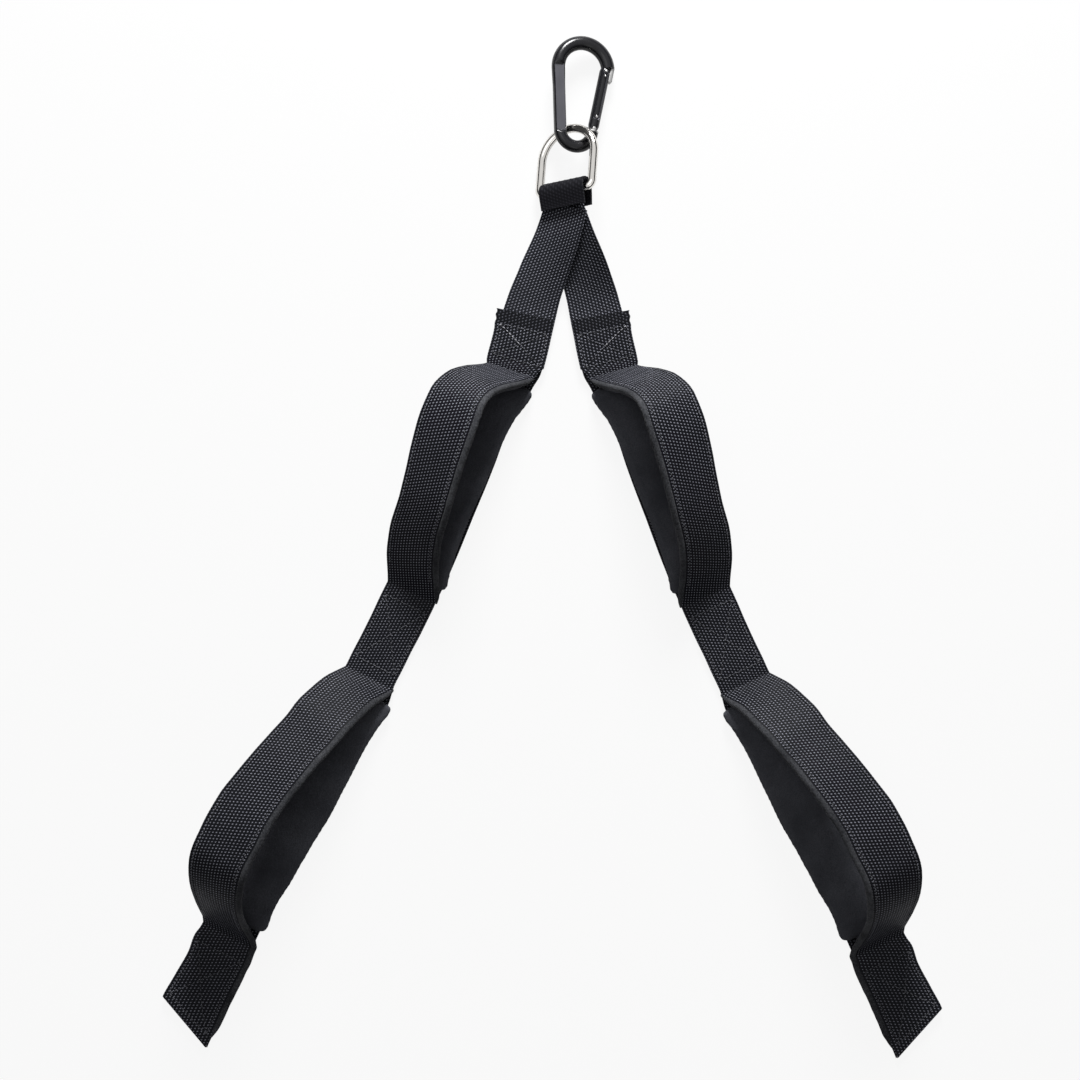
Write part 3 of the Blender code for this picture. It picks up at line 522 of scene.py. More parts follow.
def woven_band(name, path, rows, width, material, relief=1.0, dent=None, cut=None, edges=None):
    """A band of weave over rows (first, last) of a path, whose line is its underside.

    width is one value, or its values at the two ends. dent(place, across) gives how far
    the thread pulls the surface down. cut is (place, slant) of a slanted end. edges(place)
    gives how far the inner edge is drawn in and the outer edge goes out.
    """
    first, last = rows
    thickness = WEBBING_THICKNESS
    widths = width if isinstance(width, tuple) else (width, width)
    columns = 2 * round(widths[1] / YARN_STEP / 2)
    bm = bmesh.new()
    bmesh.ops.create_grid(bm, x_segments=columns, y_segments=last - first, size=1)
    weave = bm.loops.layers.uv.new("weave")
    for vert in bm.verts:
        column = round((vert.co.x + 1) / 2 * columns)
        row = first + round((vert.co.y + 1) / 2 * (last - first))
        for loop in vert.link_loops:
            loop[weave].uv = (column / 2, row / 2)
        place = row * YARN_STEP
        origin, _, across_way, normal = path.frame(place)
        share = min(1.0, max(0.0, (place - path.places[0]) / path.length))
        half = (widths[0] + share * (widths[1] - widths[0])) / 2
        inner, outer = edges(place) if edges else (0, 0)
        across = -half + inner + (2 * half + outer - inner) * column / columns
        edge_noise = noise.noise(Vector((place * WAVER_RATE, math.copysign(1, across), path.length)))
        across += EDGE_WAVER * edge_noise * abs(across) / half
        height = thickness + relief * yarn_height(column, row, columns)
        if dent:
            height -= dent(place, (2 * column / columns - 1) * half)
        vert.co = origin + across_way * across + normal * height
    bm.normal_update()
    if next(iter(bm.faces)).normal.dot(normal) < 0:
        bmesh.ops.reverse_faces(bm, faces=bm.faces)
        bm.normal_update()
    bmesh.ops.solidify(bm, geom=bm.faces[:], thickness=thickness)
    if cut:
        origin, along, across_way, _ = path.frame(cut[0])
        slant = math.tan(math.radians(cut[1]))
        plane = (along - across_way * slant).normalized()
        halves = bmesh.ops.bisect_plane(
            bm, geom=bm.verts[:] + bm.edges[:] + bm.faces[:], plane_co=origin, plane_no=plane,
            clear_outer=True,
        )
        cut_edges = [e for e in halves["geom_cut"] if isinstance(e, bmesh.types.BMEdge)]
        bmesh.ops.holes_fill(bm, edges=cut_edges, sides=0)
    return finish_mesh(bm, name, material)


# %% [markdown]
# Shader node groups hold the finishes that more than one material uses. A group is built
# once, with named inputs and outputs, and each material sets its own values on it.

# %% Node groups and materials
def new_group(name, inputs, outputs):
    """An empty node group with its sockets, and its input and output nodes."""
    group = bpy.data.node_groups.new(name, "ShaderNodeTree")
    for label, kind, value in inputs:
        socket = group.interface.new_socket(label, in_out="INPUT", socket_type=kind)
        if value is not None:
            socket.default_value = value
    for label, kind in outputs:
        group.interface.new_socket(label, in_out="OUTPUT", socket_type=kind)
    return group, group.nodes.new("NodeGroupInput"), group.nodes.new("NodeGroupOutput")


def place_group(tree, group, **inputs):
    node = tree.nodes.new("ShaderNodeGroup")
    node.node_tree = group
    for name, value in inputs.items():
        join(tree, value, node.inputs[name.replace("_", " ")])
    return node


def blend_colours(tree, factor, first, second):
    node = tree.nodes.new("ShaderNodeMix")
    node.data_type = "RGBA"
    join(tree, factor, node.inputs[0])
    join(tree, first, node.inputs[6])
    join(tree, second, node.inputs[7])
    return node.outputs[2]


def new_material(name, **values):
    """A material with a Principled shader, whose plain values are set by name."""
    material = bpy.data.materials.new(name)
    material.use_nodes = True
    shader = material.node_tree.nodes["Principled BSDF"]
    for label, value in values.items():
        shader.inputs[label.replace("_", " ")].default_value = value
    return material, material.node_tree, shader


# %% [markdown]
# The yarn group turns the column and row that each woven vertex carries into a mask that
# is 1 on top of a yarn and 0 in the gaps. Its cosines have their crests exactly where the
# mesh has its crests. The cloth group gives a fine uneven grain for anything knitted or
# felted, and slow patches of lighter wear.

# %% Yarn and cloth groups
FIBRE_STRETCH = (9, 2.2, 1)
YARNS, enter, leave = new_group(
    "yarn crests",
    [("Weave", "NodeSocketVector", None)],
    [("Crest", "NodeSocketFloat"), ("Fibre", "NodeSocketFloat")],
)
axes = add_node(YARNS, "ShaderNodeSeparateXYZ", Vector=enter.outputs["Weave"])
column_wave = add_math(YARNS, "COSINE", add_math(YARNS, "MULTIPLY", axes.outputs["X"], math.tau))
row_turn = add_math(YARNS, "MULTIPLY", axes.outputs["Y"], math.tau)
stagger = add_math(YARNS, "MULTIPLY", axes.outputs["X"], math.pi)
row_wave = add_math(YARNS, "COSINE", add_math(YARNS, "SUBTRACT", row_turn, stagger))
column_crest = add_math(YARNS, "MULTIPLY_ADD", column_wave, 0.5, 0.5)
row_crest = add_math(YARNS, "MULTIPLY_ADD", row_wave, 0.5, 0.5)
YARNS.links.new(add_math(YARNS, "MULTIPLY", column_crest, row_crest), leave.inputs["Crest"])
stretched = add_node(YARNS, "ShaderNodeVectorMath", Vector=enter.outputs["Weave"])
stretched.operation = "MULTIPLY"
stretched.inputs[1].default_value = FIBRE_STRETCH
fibre = add_node(YARNS, "ShaderNodeTexNoise", Vector=stretched.outputs[0], Scale=1.0, Detail=2.0)
YARNS.links.new(fibre.outputs["Fac"], leave.inputs["Fibre"])

CLOTH, enter, leave = new_group(
    "cloth grain",
    [
        ("Position", "NodeSocketVector", None), ("Grain Scale", "NodeSocketFloat", 900.0),
        ("Patch Scale", "NodeSocketFloat", 30.0),
    ],
    [("Grain", "NodeSocketFloat"), ("Patches", "NodeSocketFloat")],
)
for scale, label in (("Grain Scale", "Grain"), ("Patch Scale", "Patches")):
    speckle = add_node(
        CLOTH, "ShaderNodeTexNoise", Vector=enter.outputs["Position"], Scale=enter.outputs[scale], Detail=3.0
    )
    CLOTH.links.new(speckle.outputs["Fac"], leave.inputs[label])


# %% [markdown]
# Every black thing here is a different black. The webbing is polyester, and the lamp's glint on its yarn
# crests is painted into their colour as a painted highlight. The pads are dull knitted cloth, the lining's
# cut edge is a greyer felt, and the sewing thread catches more light than the webbing does. The ring's band
# is painted darker, as painted shade where it faces away from the lamp, and the tab's hem has darker yarns
# than the rest. The legs are painted a little paler, as painted light where they slope up towards the lamp,
# and one short line of thread across each tab is painted light, as a painted glint.

# %% Cloth materials
def woven_material(name, gap_colour, crest_glint_colour, roughness, crest_power):
    material, tree, shader = new_material(name, Roughness=roughness, Specular_IOR_Level=0.06)
    weave = tree.nodes.new("ShaderNodeUVMap")
    weave.uv_map = "weave"
    place = tree.nodes.new("ShaderNodeTexCoord").outputs["Object"]
    yarns = place_group(tree, YARNS, Weave=weave.outputs["UV"])
    cloth = place_group(tree, CLOTH, Position=place, Grain_Scale=1400.0, Patch_Scale=26.0)
    crest = add_math(tree, "POWER", yarns.outputs["Crest"], crest_power)
    uneven = add_math(tree, "MULTIPLY_ADD", cloth.outputs["Patches"], 0.9, 0.55)
    fibred = add_math(tree, "MULTIPLY_ADD", yarns.outputs["Fibre"], 0.8, 0.6)
    factor = add_math(tree, "MULTIPLY", add_math(tree, "MULTIPLY", crest, uneven), fibred, clamp=True)
    # The crest colour is a painted highlight: the lamp's glint on each yarn crest, painted into the base
    # colour.
    colour = blend_colours(tree, factor, (*gap_colour, 1), (*crest_glint_colour, 1))
    tree.links.new(colour, shader.inputs["Base Color"])
    relief = add_math(tree, "MULTIPLY_ADD", yarns.outputs["Fibre"], 0.35, yarns.outputs["Crest"])
    bump = add_node(tree, "ShaderNodeBump", Strength=0.45, Distance=0.0003, Height=relief)
    tree.links.new(bump.outputs["Normal"], shader.inputs["Normal"])
    return material


def plain_cloth(name, colour, lighter, grain_scale, bump_depth, sheen):
    material, tree, shader = new_material(
        name, Roughness=0.95, Specular_IOR_Level=0.04, Sheen_Weight=sheen, Sheen_Roughness=0.5
    )
    place = tree.nodes.new("ShaderNodeTexCoord").outputs["Object"]
    cloth = place_group(tree, CLOTH, Position=place, Grain_Scale=grain_scale, Patch_Scale=40.0)
    mixed = add_math(tree, "MULTIPLY", cloth.outputs["Grain"], cloth.outputs["Patches"])
    factor = add_math(tree, "MULTIPLY_ADD", mixed, 3.2, -0.4, clamp=True)
    tree.links.new(blend_colours(tree, factor, (*colour, 1), (*lighter, 1)), shader.inputs["Base Color"])
    bump = add_node(tree, "ShaderNodeBump", Strength=0.5, Distance=bump_depth, Height=cloth.outputs["Grain"])
    tree.links.new(bump.outputs["Normal"], shader.inputs["Normal"])
    return material


# The crest colours below are painted highlights, the lamp's glint on the yarn crests.
WEBBING = woven_material("black webbing", (0.0055, 0.0058, 0.0080), (0.310, 0.318, 0.372), 0.5, 3.2)
# The ring band's darker colours are painted shade: the band faces away from the lamp where it turns over the
# bar.
SHADED_BAND_WEBBING = woven_material("fine black webbing", (0.006, 0.006, 0.0078), (0.017, 0.017, 0.021), 0.7, 1.0)
# The legs' paler colours are painted light: the legs slope up towards the lamp.
LIT_LEG_WEBBING = woven_material("paler leg webbing", (0.011, 0.0115, 0.0150), (0.350, 0.360, 0.420), 0.5, 2.8)
# The hem's webbing is darker, with dimmer painted highlights on its yarn crests.
HEM_WEBBING = woven_material("worn hem webbing", (0.0045, 0.0047, 0.0062), (0.120, 0.124, 0.148), 0.6, 2.8)
# The cross thread's pale colour is a painted glint: the lamp's light caught on one short line of thread.
GLINT_THREAD = plain_cloth("light cross thread", (0.24, 0.24, 0.26), (0.50, 0.50, 0.53), 2500.0, 0.0001, 0.0)
PAD_CLOTH = plain_cloth(
    "knitted pad cloth", (0.050, 0.052, 0.061), (0.098, 0.101, 0.116), 1500.0, 0.0003, 0.05
)
LINING_FELT = plain_cloth(
    "grey lining felt", (0.020, 0.021, 0.024), (0.080, 0.082, 0.090), 800.0, 0.0009, 0.05
)
THREAD = plain_cloth("sewing thread", (0.075, 0.076, 0.085), (0.160, 0.163, 0.180), 2500.0, 0.0001, 0.0)


# %% [markdown]
# Metal needs less. The ring's plating is a near mirror with faint polishing marks, and
# the carabiner's rod is anodised: a dark, slightly soft gloss with faint wear. The flat
# faces of its spine and the walls of the gate's groove are milled, which leaves them
# greyer. Pins, the nose hook and the collar at the hinge are plain steel.

# %% Metal materials
SCRATCH_STRETCH = (1, 0.12, 1)
SMUDGE_SCALE = 70.0
METAL_WEAR, enter, leave = new_group(
    "metal wear",
    [
        ("Position", "NodeSocketVector", None), ("Scratch Scale", "NodeSocketFloat", 400.0),
        ("Amount", "NodeSocketFloat", 0.1),
    ],
    [("Marks", "NodeSocketFloat"), ("Smudge", "NodeSocketFloat")],
)
long_way = add_node(METAL_WEAR, "ShaderNodeVectorMath", Vector=enter.outputs["Position"])
long_way.operation = "MULTIPLY"
long_way.inputs[1].default_value = SCRATCH_STRETCH
scratch = add_node(
    METAL_WEAR, "ShaderNodeTexNoise", Vector=long_way.outputs[0], Scale=enter.outputs["Scratch Scale"],
    Detail=4.0,
)
smudge = add_node(
    METAL_WEAR, "ShaderNodeTexNoise", Vector=enter.outputs["Position"], Scale=SMUDGE_SCALE, Detail=3.0
)
for speckle, label in ((scratch, "Marks"), (smudge, "Smudge")):
    scaled = add_math(METAL_WEAR, "MULTIPLY", speckle.outputs["Fac"], enter.outputs["Amount"])
    METAL_WEAR.links.new(scaled, leave.inputs[label])


def metal_material(name, colour, worn_colour, roughness, metallic, amount, gloss=0.5):
    material, tree, shader = new_material(name, Metallic=metallic, Specular_IOR_Level=gloss)
    place = tree.nodes.new("ShaderNodeTexCoord").outputs["Object"]
    wear = place_group(tree, METAL_WEAR, Position=place, Amount=amount)
    tree.links.new(add_math(tree, "ADD", wear.outputs["Smudge"], roughness), shader.inputs["Roughness"])
    factor = add_math(tree, "MULTIPLY_ADD", wear.outputs["Marks"], 2.0, 0.0, clamp=True)
    tree.links.new(blend_colours(tree, factor, (*colour, 1), (*worn_colour, 1)), shader.inputs["Base Color"])
    bump = add_node(tree, "ShaderNodeBump", Strength=0.12, Distance=0.0001, Height=wear.outputs["Marks"])
    tree.links.new(bump.outputs["Normal"], shader.inputs["Normal"])
    return material


CHROME = metal_material("polished plating", (0.80, 0.78, 0.75), (0.70, 0.66, 0.60), 0.05, 1.0, 0.10)
ANODISED = metal_material(
    "black anodising", (0.005, 0.005, 0.0065), (0.018, 0.018, 0.021), 0.16, 0.0, 0.16, gloss=0.33
)
MILLED = metal_material("milled grey face", (0.075, 0.075, 0.085), (0.13, 0.13, 0.145), 0.36, 0.9, 0.2)
PIN_STEEL = metal_material("pin steel", (0.5, 0.5, 0.5), (0.36, 0.35, 0.34), 0.24, 1.0, 0.2)

# %% [markdown]
# Sewing holds the layers together: a box with a cross in it at the tab, the middle and
# the end, and a seam along each edge of the hand loops. A seam is a list of straight
# lines, each from one (place, across) to another on its layer, so the same lines can
# both lay the thread and pull the webbing down under it.

# %% Seam lines
SEAM_EDGE = 0.0030
SEAM_DIP = 0.00032
SEAM_REACH = 0.0013
HALF_WIDTH = WEBBING_WIDTH / 2


def box_seam(start, end, half, slant=0.0):
    """A box with a cross, from start to end, whose far side may be slanted in degrees."""
    lean = half * math.tan(math.radians(slant))
    near_in, near_out = (start, -half), (start, half)
    far_in, far_out = (end + lean, -half), (end - lean, half)
    return [
        (near_in, near_out), (near_out, far_out), (far_out, far_in), (far_in, near_in),
        (near_in, far_out), (near_out, far_in),
    ]


def seam_distance(place, across, line):
    (p0, a0), (p1, a1) = line
    run, rise = p1 - p0, a1 - a0
    share = ((place - p0) * run + (across - a0) * rise) / (run * run + rise * rise)
    share = min(1.0, max(0.0, share))
    return math.hypot(place - p0 - share * run, across - a0 - share * rise)


def seam_dent(lines):
    def dent(place, across):
        near = min(seam_distance(place, across, line) for line in lines)
        return SEAM_DIP * math.exp(-(near / SEAM_REACH) ** 2)
    return dent


HEM_LENGTH = 0.0105
TAB_BOX_INSET = 0.004
MIDDLE_BOX_INSET = 0.005
END_BOX_INSETS = (0.008, 0.007)
LOOP_SEAM_SHARES = (0.10, 0.90)


def front_seams(side):
    """The seams on a side's front layer, by the body that they ride on."""
    marks = side.front_marks
    half = HALF_WIDTH - SEAM_EDGE
    upper = marks["upper_end"] - marks["tab_end"]
    lower = marks["lower_end"] - marks["middle_end"]
    seams = {
        "leg": box_seam(HEM_LENGTH, marks["tab_end"] - TAB_BOX_INSET, half),
        "middle": box_seam(
            marks["upper_end"] + MIDDLE_BOX_INSET, marks["middle_end"] - MIDDLE_BOX_INSET, half
        ),
        "end": box_seam(
            marks["lower_end"] + END_BOX_INSETS[0], marks["tip"] - END_BOX_INSETS[1], half, END_SLANT
        ),
    }
    for name, start, length in (("upper", marks["tab_end"], upper), ("lower", marks["middle_end"], lower)):
        first, last = (start + share * length for share in LOOP_SEAM_SHARES)
        seams[name] = [((first, edge), (last, edge)) for edge in (-half, half)]
    return seams


# %% [markdown]
# Sewn webbing doesn't keep straight edges. It spreads at the tab's hem and at the cut
# end, and it is drawn in where a loop leaves the tab and at the back of the upper loop.
# These tables give that in millimetres, against a place that counts 0 to 1 on the tab, 1 to 2 in the upper
# loop, 2 to 3 in the middle, 3 to 4 in the lower loop and 4 to 5 at the end. The front tables were typed
# from what a separate script printed, which measured how far the plain strap's edge stood from points of
# the real outline. They were rounded and evened a little, and the other tables changed further.

# %% Drawn edges
MILLIMETRE = 0.001
FRONT_INNER = (
    (0, 2.0), (0.9, 1.2), (1.0, 4.0), (1.03, 5.2), (1.1, 3.4), (1.17, 3.0), (1.26, 0.6), (1.32, -1.8),
    (1.39, -3.4), (1.5, -2.6), (1.63, -2.4), (1.73, 0), (1.85, 1.6), (1.95, 2.6), (3.0, 2.8), (3.08, 2.6),
    (3.15, -1.3), (3.23, -4.4), (3.3, -3.7), (3.42, -3.6), (3.5, -4.4), (3.56, -5.2), (3.62, -3.8),
    (3.67, -2.7), (3.77, -1.2), (3.87, 0), (3.95, 0), (4.12, -1.5), (4.5, -1.0), (5.0, -0.5),
)
FRONT_OUTER = (
    (-0.1, 4.8), (0, 4.8), (0.05, 3.9), (0.12, 4.6), (0.2, 3.5), (0.27, 4.0), (0.4, 3.4), (1.0, 3.0),
    (1.04, 1.5), (1.13, 2.5), (1.28, 2.5), (1.4, 2.8), (1.5, 1.6), (1.6, 0), (1.66, -0.4), (1.75, 1.2),
    (1.9, 1.4), (2.0, 1.4), (3.0, 1.2), (3.1, 1.2), (3.19, -1.9), (3.25, -3.8), (3.4, -3.4), (3.6, -3.6),
    (3.68, -1.9), (3.8, -1.7), (3.93, -0.7), (4.08, 1.2), (4.28, 0), (4.55, 1.4), (4.8, 3.2), (5.0, 2.8),
)
BACK_INNER = (
    (0, 2.0), (1.0, 2.0), (1.06, 4.5), (1.26, 9.0), (1.4, 7.0), (1.6, 5.0), (1.85, 2.6), (2.0, 2.6),
    (3.0, 2.6), (3.08, 0), (3.9, 0), (4.1, -2.5), (4.5, -2.0), (5.0, -1.5),
)
BACK_OUTER = (
    (0, 2.5), (1.0, 2.0), (1.1, 0), (3.9, 0), (4.1, 0.6), (4.28, -0.8), (4.55, 0.8), (4.8, 2.6), (5.0, 2.2),
)


def counted_place(marks, place):
    """A place counted in stretches: 1.5 is halfway round the upper loop."""
    ends = [0, *(marks[name] for name in STRETCH_ENDS)]
    row = sum(1 for end in ends[1:-1] if end <= place)
    return row + (place - ends[row]) / (ends[row + 1] - ends[row])


def drawn_edges(marks, inner_table, outer_table):
    def edges(place):
        count = counted_place(marks, place)
        return tuple(smooth_value(table, count) * MILLIMETRE for table in (inner_table, outer_table))
    return edges


# %% [markdown]
# Each layer is cut into bands at the middle of its loops and of its sewn middle, so that a band crosses one
# joint. The cuts fall on whole rows of the weave, and the rows are counted along the whole layer, so the
# pattern runs on from one band to the next.

# %% Bands of the two straps
END_OVERHANG = 0.0110
SEAM_MARGIN = 0.01
STRETCHES = (
    ("tab", "tab_end", ("leg", "upper"), ("tab_{0}", "upper_{0}_strap")),
    ("upper", "upper_end", ("upper", "middle"), ("upper_{0}_strap", "middle_{0}")),
    ("lower", "middle_end", ("middle", "lower"), ("middle_{0}", "lower_{0}_strap")),
    ("end", "lower_end", ("lower", "end"), ("lower_{0}_strap", "end_{0}")),
)


def bend_at(obj, side, place):
    """Bake the piece's transform into its mesh. It reads the plan line at the place, but the piece neither
    bends nor rides on a body.
    """
    origin, along, _, _ = side.plan.frame(place)
    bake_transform(obj)


def darken_hem(band):
    """Give the tab's folded hem, above its first seam, the flatter and darker weave."""
    band.data.materials.append(HEM_WEBBING)
    weave = band.data.uv_layers["weave"].data
    last_row = (HEM_LENGTH - YARN_STEP) / YARN_STEP / 2
    for face in band.data.polygons:
        if max(weave[corner].uv.y for corner in face.loop_indices) < last_row:
            face.material_index = 1


def seams_near(lines, first, last):
    """The seam lines that reach a band, or come near enough to pull it down."""
    near = []
    for line in lines:
        low, high = sorted((line[0][0], line[1][0]))
        if first - SEAM_MARGIN < high and low < last + SEAM_MARGIN:
            near.append(line)
    return near


def make_bands(side, layer):
    path, marks = (side.front, side.front_marks) if layer == "front" else (side.back, side.back_marks)
    tables = (FRONT_INNER, FRONT_OUTER) if layer == "front" else (BACK_INNER, BACK_OUTER)
    seams = front_seams(side)
    lines = [line for group in seams.values() for line in group]
    cuts = [
        0,
        (marks["tab_end"] + marks["upper_end"]) / 2,
        (marks["upper_end"] + marks["middle_end"]) / 2,
        (marks["middle_end"] + marks["lower_end"]) / 2,
        marks["tip"] + END_OVERHANG,
    ]
    rows = [round(cut / YARN_STEP) for cut in cuts]
    for index, (name, mark, bodies, nodes) in enumerate(STRETCHES):
        cut = (marks["tip"], -END_SLANT) if name == "end" else None
        near = seams_near(lines, cuts[index], cuts[index + 1])
        band = woven_band(
            f"{side.name}_{layer}_webbing_{name}", path, (rows[index], rows[index + 1]), WEBBING_WIDTH,
            WEBBING, dent=seam_dent(near) if layer == "front" and near else None, cut=cut,
            edges=drawn_edges(marks, *tables),
        )
        if name == "tab" and layer == "front":
            darken_hem(band)
        bend_at(band, side, getattr(side, mark))
        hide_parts(*(f"{side.name}_" + node.format(layer) for node in nodes))


for side in SIDES:
    for layer in ("front", "back"):
        make_bands(side, layer)
print("bands of webbing made")


# %% [markdown]
# The leg straps run from the ring band down into the tabs. They cross right at the band,
# the left one on top, and untwist from the ring's tilt to lie flat. Their line is a
# smooth curve between the crossing and the tab, with a direction given at each end.

# %% Leg straps
LEG_ROW_OVERLAP = 0.0012
LEG_END_INSET = 0.003
LEG_OUTER = {
    "left": ((0, 0), (0.4, 0), (0.75, 2.2), (1, 2.6)),
    "right": ((0, -4.0), (0.35, -1.0), (0.75, 2.0), (1, 2.6)),
}


def leg_path(side):
    sign = side.sign
    heading = math.radians(LEG_HEADING)
    first = Vector((sign * math.sin(heading), -math.cos(heading), 0))
    first = (first - STACK_NORMAL * first.dot(STACK_NORMAL)).normalized()
    first_across = first.cross(STACK_NORMAL) * -sign
    if first_across.x * sign < 0:
        first_across = -first_across
    tab, along, across, _ = side.plan.frame(0)
    end_height = LAYER_PITCH + WEBBING_THICKNESS / 2 + sign * LAYER_PITCH / 2
    end = tab + UP * end_height
    pull = LEG_PULL_SHARE * (end - CROSSING).length
    back = 4 * LEG_TOP_INSET
    origins, acrosses = [CROSSING - first * back], [first_across]
    for index in range(LOOP_STEPS + 1):
        t = index / LOOP_STEPS
        origins.append(
            CROSSING * (2 * t ** 3 - 3 * t ** 2 + 1) + first * pull * (t ** 3 - 2 * t ** 2 + t)
            + end * (3 * t ** 2 - 2 * t ** 3) + along * pull * (t ** 3 - t ** 2)
        )
        acrosses.append(first_across.lerp(across, t * t * (3 - 2 * t)))
    steps = LOOP_STEPS // 4
    for index in range(1, steps + 1):
        origin, _, across, _ = side.plan.frame(TAB_LENGTH * index / steps)
        origins.append(origin + UP * end_height)
        acrosses.append(across)
    return Path(origins, acrosses, start=-back)


class LiftedPath:
    """A path moved along its own normal."""

    def __init__(self, path, lift):
        self.path, self.lift = path, lift
        self.places, self.length = path.places, path.length

    def frame(self, place):
        origin, along, across, normal = self.path.frame(place)
        return origin + normal * self.lift, along, across, normal


def leg_edges(side, length):
    def edges(place):
        return 0, smooth_value(LEG_OUTER[side.name], place / length) * MILLIMETRE
    return edges


for side in SIDES:
    path = leg_path(side)
    underside = LiftedPath(path, -side.sign * LAYER_PITCH / 2 - WEBBING_THICKNESS / 2)
    first_row = round(-LEG_ROW_OVERLAP / YARN_STEP)
    last_row = round((path.places[-1] - LEG_END_INSET) / YARN_STEP)
    # The leg's webbing is painted paler, as painted light.
    leg = woven_band(
        side.name + "_leg_webbing", underside, (first_row, last_row), (LEG_WIDTH_AT_RING, LEG_WIDTH),
        LIT_LEG_WEBBING, edges=leg_edges(side, path.length),
    )
    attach(leg, side.name + "_leg")
    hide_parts(side.name + "_leg_strap")
    print(leg.name, "length", round(path.length, 3), "m")


# %% [markdown]
# The ring band is a short piece of flatter webbing folded round the ring's bar, with both
# ends lying over the leg straps. Its profile is a half circle round the bar with two
# flaps that draw together, seen from the bar's end.

# %% Ring band
BEND_STEPS = 16
FLAP_STEPS = 10


def band_path():
    inner = WIRE_RADIUS + BAR_CLEARANCE
    flap = (LAYER_PITCH + WEBBING_THICKNESS) / 2 + LAYER_GAP
    profile = []
    for index in range(FLAP_STEPS):
        share = 1 - index / FLAP_STEPS
        ease = share * share * (3 - 2 * share)
        profile.append((share * FLAP_LENGTH, inner + (flap - inner) * ease))
    for index in range(BEND_STEPS + 1):
        angle = math.radians(90 + 180 * index / BEND_STEPS)
        profile.append((inner * math.cos(angle), inner * math.sin(angle)))
    profile += [(low, -out) for low, out in reversed(profile[:FLAP_STEPS])]
    return [BAR_CENTRE + DOWN_FLAP * low + STACK_NORMAL * out for low, out in profile]


class BandPath(Path):
    """The ring band's path, whose normal always points away from the bar."""

    def frame(self, place):
        origin, along, across, _ = super().frame(place)
        return origin, along, across, along.cross(across).normalized()


origins = band_path()
band_route = BandPath(origins, [-BAR_WAY] * len(origins))
if band_route.frame(0)[3].dot(STACK_NORMAL) < 0:
    band_route = BandPath(origins, [BAR_WAY] * len(origins))
# The band's webbing is painted darker, as painted shade.
ring_band = woven_band(
    "ring_band", band_route, (0, round(band_route.length / YARN_STEP)), LOOP_WIDTH, SHADED_BAND_WEBBING,
    relief=0.55,
)
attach(ring_band, "loop")
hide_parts("ring_loop")


# %% [markdown]
# A pad is a strip of padding in a knitted sleeve. It starts as a finely divided box. Its
# vertices are laid along the strap, its section is rounded at the edges, and its ends are
# drawn in. The tables give its edges in the same way as the strap's.

# %% Pad shapes
PAD_WIDTH = 0.0385
BACK_PAD_THICKNESS = 0.0062
FRONT_PAD_THICKNESS = 0.0046
FRONT_PAD_WIDTH = 0.0405
BACK_PAD_SHARES = {"upper": (0.062, 0.928), "lower": (0.062, 0.925)}
FRONT_PAD_SHARES = {"upper": (0.075, 0.865), "lower": (0.125, 0.945)}
PAD_INNER = (
    (1.0, 3.0), (1.07, 1.6), (1.11, 2.6), (1.26, 6.2), (1.4, 5.2), (1.52, 4.3), (1.63, 4.0), (1.72, 2.8),
    (1.85, 0.6), (1.92, -0.8), (3.05, -5.4), (3.12, -4.0), (3.24, -3.6), (3.36, -5.0), (3.5, -5.6),
    (3.61, -5.1), (3.72, -4.8), (3.8, -4.0), (3.87, -4.4), (4.0, -5.0),
)
PAD_OUTER = ((1, 0), (4, 0))
LINING_INNER = (
    (1.0, 4.2), (1.1, 3.6), (1.17, 3.0), (1.26, 0.8), (1.32, -1.2), (1.5, -1.4), (1.63, -1.2), (1.73, 0.6),
    (1.9, 2.4), (3.0, 2.8), (3.08, 2.6), (3.15, -0.4), (3.23, -3.2), (3.42, -2.6), (3.56, -3.8),
    (3.67, -1.6), (3.87, 0.6), (4.0, 0.6),
)
LINING_OUTER = (
    (1.0, -1.5), (1.4, -1.0), (1.6, -3.0), (1.9, -2.0), (3.0, -2.2), (3.1, -2.2), (3.25, -6.0),
    (3.6, -6.0), (3.8, -4.0), (4.0, -2.4),
)
PAD_CELLS = (90, 14, 4)
PAD_END_REACH = 0.0075
PAD_CROWN = 0.30
PAD_EDGE_THINNING = 0.80
PAD_EDGE_POWER = 3.5
PAD_FACE_DRAW = 0.10
PAD_END_WIDTHS = (0.88, 0.12)
PAD_END_HEIGHTS = (0.34, 0.66)
PAD_LUMP = 0.0004
LUMP_SCALE = 55.0


def divided_box(cells):
    """A unit cube with its three sides divided into cells along Y, X and Z."""
    bm = bmesh.new()
    bmesh.ops.create_cube(bm, size=1)
    for axis, count in zip((1, 0, 2), cells):
        edges = [e for e in bm.edges if abs(e.verts[0].co[axis] - e.verts[1].co[axis]) > 0.9]
        bmesh.ops.subdivide_edges(bm, edges=edges, cuts=count - 1, use_grid_fill=True)
    return bm


def end_draw(distance):
    """1 along the pad, falling to 0 at its very end, as a quarter circle."""
    inside = min(1.0, max(0.0, distance / PAD_END_REACH))
    return math.sqrt(1 - (1 - inside) ** 2)


